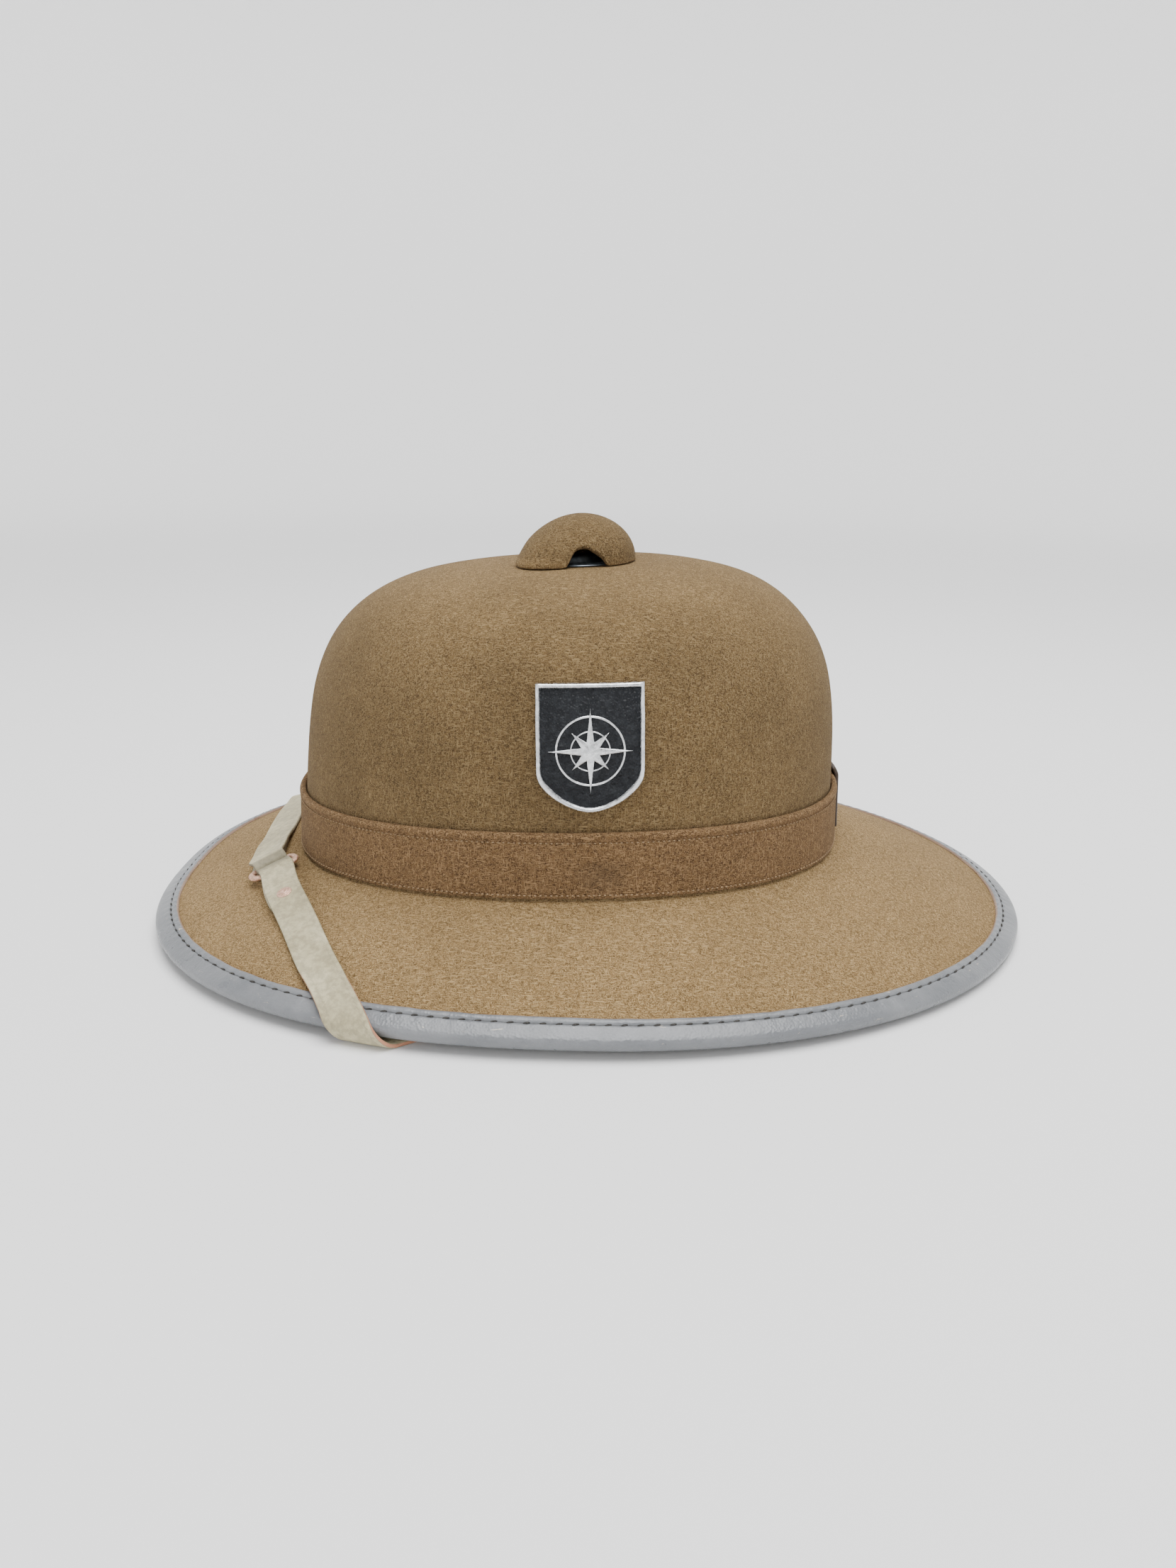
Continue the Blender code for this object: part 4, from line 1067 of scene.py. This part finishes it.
def make_strap(name, node, direction, route, crossing, skew, side, material):
    """From its returned end round the buckle's bar, over the brim, round the rim and up to the anchor."""
    origin, bar, forward, up = buckle_frame()
    toward = forward * direction
    centre = origin + toward * BAR_HALF_SPACING + up * BAR_HEIGHT
    fold = []
    loose = FOLD_LOOSENESS if direction > 0 else 0.0
    for degrees in range(-90, 91, 12):
        turn = radians(degrees)
        normal = up * sin(turn) - toward * cos(turn)
        place = centre + up * loose / 2 + normal * (BAR_INSIDE + loose / 2)
        fold.append((place, bar * STRAP_WIDTH / 2, normal))
    wrap, before, after = wrap_rows(crossing, skew)
    wrap = [(place, half * math.copysign(1, half.dot(bar)), normal) for place, half, normal in wrap]
    start = origin + toward * (BAR_HALF_SPACING + 2 * STRAP_LEATHER)
    places = [start] + [brim_point(radians(degrees), share) for degrees, share in route]
    places.append(wrap[0][0] - before * WRAP_RUN / 2)
    laid, runs = laid_rows([Vector((p.x, p.y, 0)) for p in places], fold[0][1], wrap[0][1],
                           LAID_STEPS)
    returned = []
    for (place, half, normal), run in zip(laid, runs):
        if run <= STRAP_RETURN:
            place, half = on_brim(place, half * RETURN_SHARE, normal, STRAP_GAP + STRAP_LEATHER)
            returned.append((place, half, -normal))
    laid = [(place + normal * loose * (1 - fade(run, 0, STRAP_RAMP)), half, normal)
            for (place, half, normal), run in zip(laid, runs)]
    anchor, inward, heading = anchor_place(side)
    first = wrap[-1][0] + after * HANG_RUN
    corner = anchor - heading * ANCHOR_APPROACH + inward * ANCHOR_STANDOFF
    points = [first, first.lerp(corner, 0.5) - UP * HANG_SAG, corner, anchor - heading * ANCHOR_BELOW,
              anchor, anchor + heading * ANCHOR_TAIL]
    normals = [-UP, (inward - 2 * UP).normalized(), (inward * 2 - UP).normalized(), inward, inward, inward]
    hanging = hanging_rows(points, normals, wrap[-1][1], HANGING_STEPS)
    over_brim = evened(laid + wrap[:EASED_ROWS])
    rows = returned[::-1] + fold + over_brim + wrap[EASED_ROWS:] + hanging
    raw_from, raw_to = len(returned) + len(fold) + len(laid) - 4, len(rows) - len(hanging)
    lengths = running_lengths([row[0] for row in rows])
    # The UV length is measured from the fold, where the painted shade is centred.
    fold_place = lengths[len(returned) + 2 * len(fold) // 3]

    def place(u, v):
        middle, half, normal = at(rows, u)
        across, deep = at(STRAP_SECTION, v)
        return middle + half * across + normal * STRAP_LEATHER * deep

    strap = shaped_grid(name, len(rows) - 1, len(STRAP_SECTION) - 1, place, closed=True)
    for corner in strap.data.uv_layers.active.data:
        across = at(STRAP_SECTION, corner.uv.y)[0]
        row = round(corner.uv.x * (len(rows) - 1))
        edge = 0.001 if raw_from < row < raw_to else 0.0004
        edge *= (abs(across) > 0.98) * math.copysign(1, across)
        corner.uv = (lengths[row] - fold_place, STRAP_WIDTH / 2 * (1 + across) + edge)
    dress(strap, material, "khaki_leather", node, crease=60)
    return over_brim, runs


def make_buckle(copper):
    origin, bar, forward, up = buckle_frame()
    half_u = STRAP_WIDTH / 2 + BUCKLE_CLEARANCE + BUCKLE_WIRE / 2 - BUCKLE_CORNER
    half_v = BAR_HALF_SPACING - BUCKLE_CORNER
    path = []
    for sign_u, sign_v, start in ((1, 1, 0), (-1, 1, 90), (-1, -1, 180), (1, -1, 270)):
        for degrees in range(start, start + 91, 15):
            turn = radians(degrees)
            path.append(bar * (sign_u * half_u + BUCKLE_CORNER * cos(turn))
                        + forward * (sign_v * half_v + BUCKLE_CORNER * sin(turn)))
    centre = origin + up * BAR_HEIGHT

    def place(u, v):
        i = round(u * len(path)) % len(path)
        across = up.cross(path[(i + 1) % len(path)] - path[i - 1]).normalized()
        spin = TURN * v
        point = centre + path[i] + (across * cos(spin) * 1.45 + up * sin(spin)) * BUCKLE_WIRE / 2
        return point + up * 0.00012 * noise.noise(point * 700)

    wire = shaped_grid("strap_buckle_wire", len(path), 16, place, closed=True)
    dress(wire, copper, "copper_wire", "strap_buckle")


def rivet(name, node, centre, normal, radius, height, material, slot, rings):
    """A turned rivet head with pressed rings."""
    turn = directions(Vector((1, 0.2, 0.1)), normal, centre)
    profile = []
    for i in range(25):
        share = i / 24
        rise = height * (1 - share ** 2.4) ** 0.5
        if share < 0.85:
            rise += rings * cos(share * TURN * 3.2)
        profile.append((radius * share, rise))
    profile += [(radius * 0.98, -0.0002), (0.0, -0.0002)]

    def place(u, v):
        reach, rise = at(profile, v)
        return turn @ Vector((reach * cos(TURN * u), reach * sin(TURN * u), rise))

    head = shaped_grid(name, 40, len(profile) - 1, place, closed=True)
    dress(head, material, slot, node, crease=50)


def make_straps():
    material = strap_leather()
    laid, runs = make_strap("lower_chin_strap", "chin_strap_lower", -1, LOWER_ROUTE, LOWER_CROSSING,
                            LOWER_SKEW, -1, material)
    make_strap("upper_chin_strap", "chin_strap_upper", 1, UPPER_ROUTE, UPPER_CROSSING,
               UPPER_SKEW, 1, material)
    copper = metal("pink_copper", (0.8, 0.55, 0.43), (0.55, 0.34, 0.24), 0.55, 900)
    make_buckle(copper)
    k = min(range(len(runs)), key=lambda i: abs(runs[i] - STRAP_RETURN + RIVET_INSET))
    centre, half, _ = laid[k]
    normal = half.cross(laid[k + 1][0] - laid[k - 1][0]).normalized()
    normal *= math.copysign(1, normal.z)
    rivet("strap_rivet_head", "strap_rivet", centre + normal * (STRAP_LEATHER + PROUD), normal,
          RIVET_RADIUS, RIVET_HEIGHT * 0.5, copper, "copper_wire", 0.00006)
    dull = metal("anchor_zinc", (0.25, 0.27, 0.28), (0.36, 0.38, 0.38), 0.5)
    for name, side in (("left", -1), ("right", 1)):
        place, inward, _ = anchor_place(side)
        rivet(f"{name}_anchor_head", f"strap_anchor_{name}", place + inward * (STRAP_LEATHER + PROUD),
              inward, ANCHOR_RADIUS, ANCHOR_RAISE, dull, "zinc", 0.0)


# Floor, light and camera

CAMERA_PLACE = Vector((-0.0042, -0.4519, 0.1926))
CAMERA_RIGHT = Vector((0.9999, 0.0005, 0.0156))
CAMERA_UP = Vector((-0.0149, 0.3084, 0.9512))
FOCAL_LENGTH = 26.7
SWEEP_REACH = 1.8
SWEEP_CURVE = 0.8
SWEEP_WALL = 0.9
SWEEP_DROP = 0.0001
SWEEP_GLOW = 0.5
SKY = 0.52


def in_scene(name, data):
    obj = bpy.data.objects.new(name, data)
    bpy.context.scene.collection.objects.link(obj)
    return obj


def make_camera():
    data = bpy.data.cameras.new("camera")
    data.lens = FOCAL_LENGTH
    data.sensor_width = 36
    data.clip_start = 0.01
    camera = in_scene("camera", data)
    camera.matrix_world = directions(CAMERA_RIGHT, CAMERA_RIGHT.cross(CAMERA_UP).normalized(), CAMERA_PLACE)
    bpy.context.scene.camera = camera


def make_floor():
    """A pale sweep: a flat floor that curves up all round into a softly lit wall."""
    arc = SWEEP_CURVE * pi / 2

    def place(u, v):
        run = v * (SWEEP_REACH + arc + SWEEP_WALL)
        turn = max(0.0, min(pi / 2, (run - SWEEP_REACH) / SWEEP_CURVE))
        reach = min(run, SWEEP_REACH) + SWEEP_CURVE * sin(turn)
        height = SWEEP_CURVE * (1 - cos(turn)) + max(0.0, run - SWEEP_REACH - arc)
        return Vector((reach * cos(TURN * u), reach * sin(TURN * u), height - SWEEP_DROP))

    floor = shaped_grid("floor_sweep", 96, 60, place)
    finish = Finish("pale_floor", 0.8)
    reach = finish.add("VectorMath", {0: finish.mapped((1, 1, 0))}, operation="LENGTH")["Value"]
    finish.link(finish.between(reach, 0.7, 2.4, 0.0, SWEEP_GLOW), finish.shader, "Emission Strength")
    finish.link((1.0, 1.0, 1.0), finish.shader, "Emission Color")
    floor.data.materials.append(finish.wear((0.86, 0.86, 0.86)))
    pick(floor)
    bpy.ops.object.shade_smooth_by_angle(angle=radians(30))


def area_light(name, place, target, size, power):
    data = bpy.data.lights.new(name, "AREA")
    data.shape = "DISK"
    data.size = size
    data.energy = power
    light = in_scene(name, data)
    light.location = place
    light.rotation_euler = (Vector(target) - Vector(place)).to_track_quat("-Z", "Y").to_euler()


def make_light():
    world = bpy.data.worlds.new("studio")
    bpy.context.scene.world = world
    world.use_nodes = True
    sky = world.node_tree.nodes["Background"]
    sky.inputs["Color"].default_value = (1, 1, 1, 1)
    sky.inputs["Strength"].default_value = SKY
    area_light("overhead", (0.12, -0.12, 1.5), (0, 0, 0.05), 1.4, 42)
    area_light("front", (-0.6, -1.5, 0.8), (0, 0, 0.06), 0.9, 2)


make_camera()
make_floor()
make_light()
crown_material = make_shell()
make_band()
make_rear_tab()
make_binding()
make_vent_cap(crown_material)
make_vent_ring()
make_badge()
make_straps()
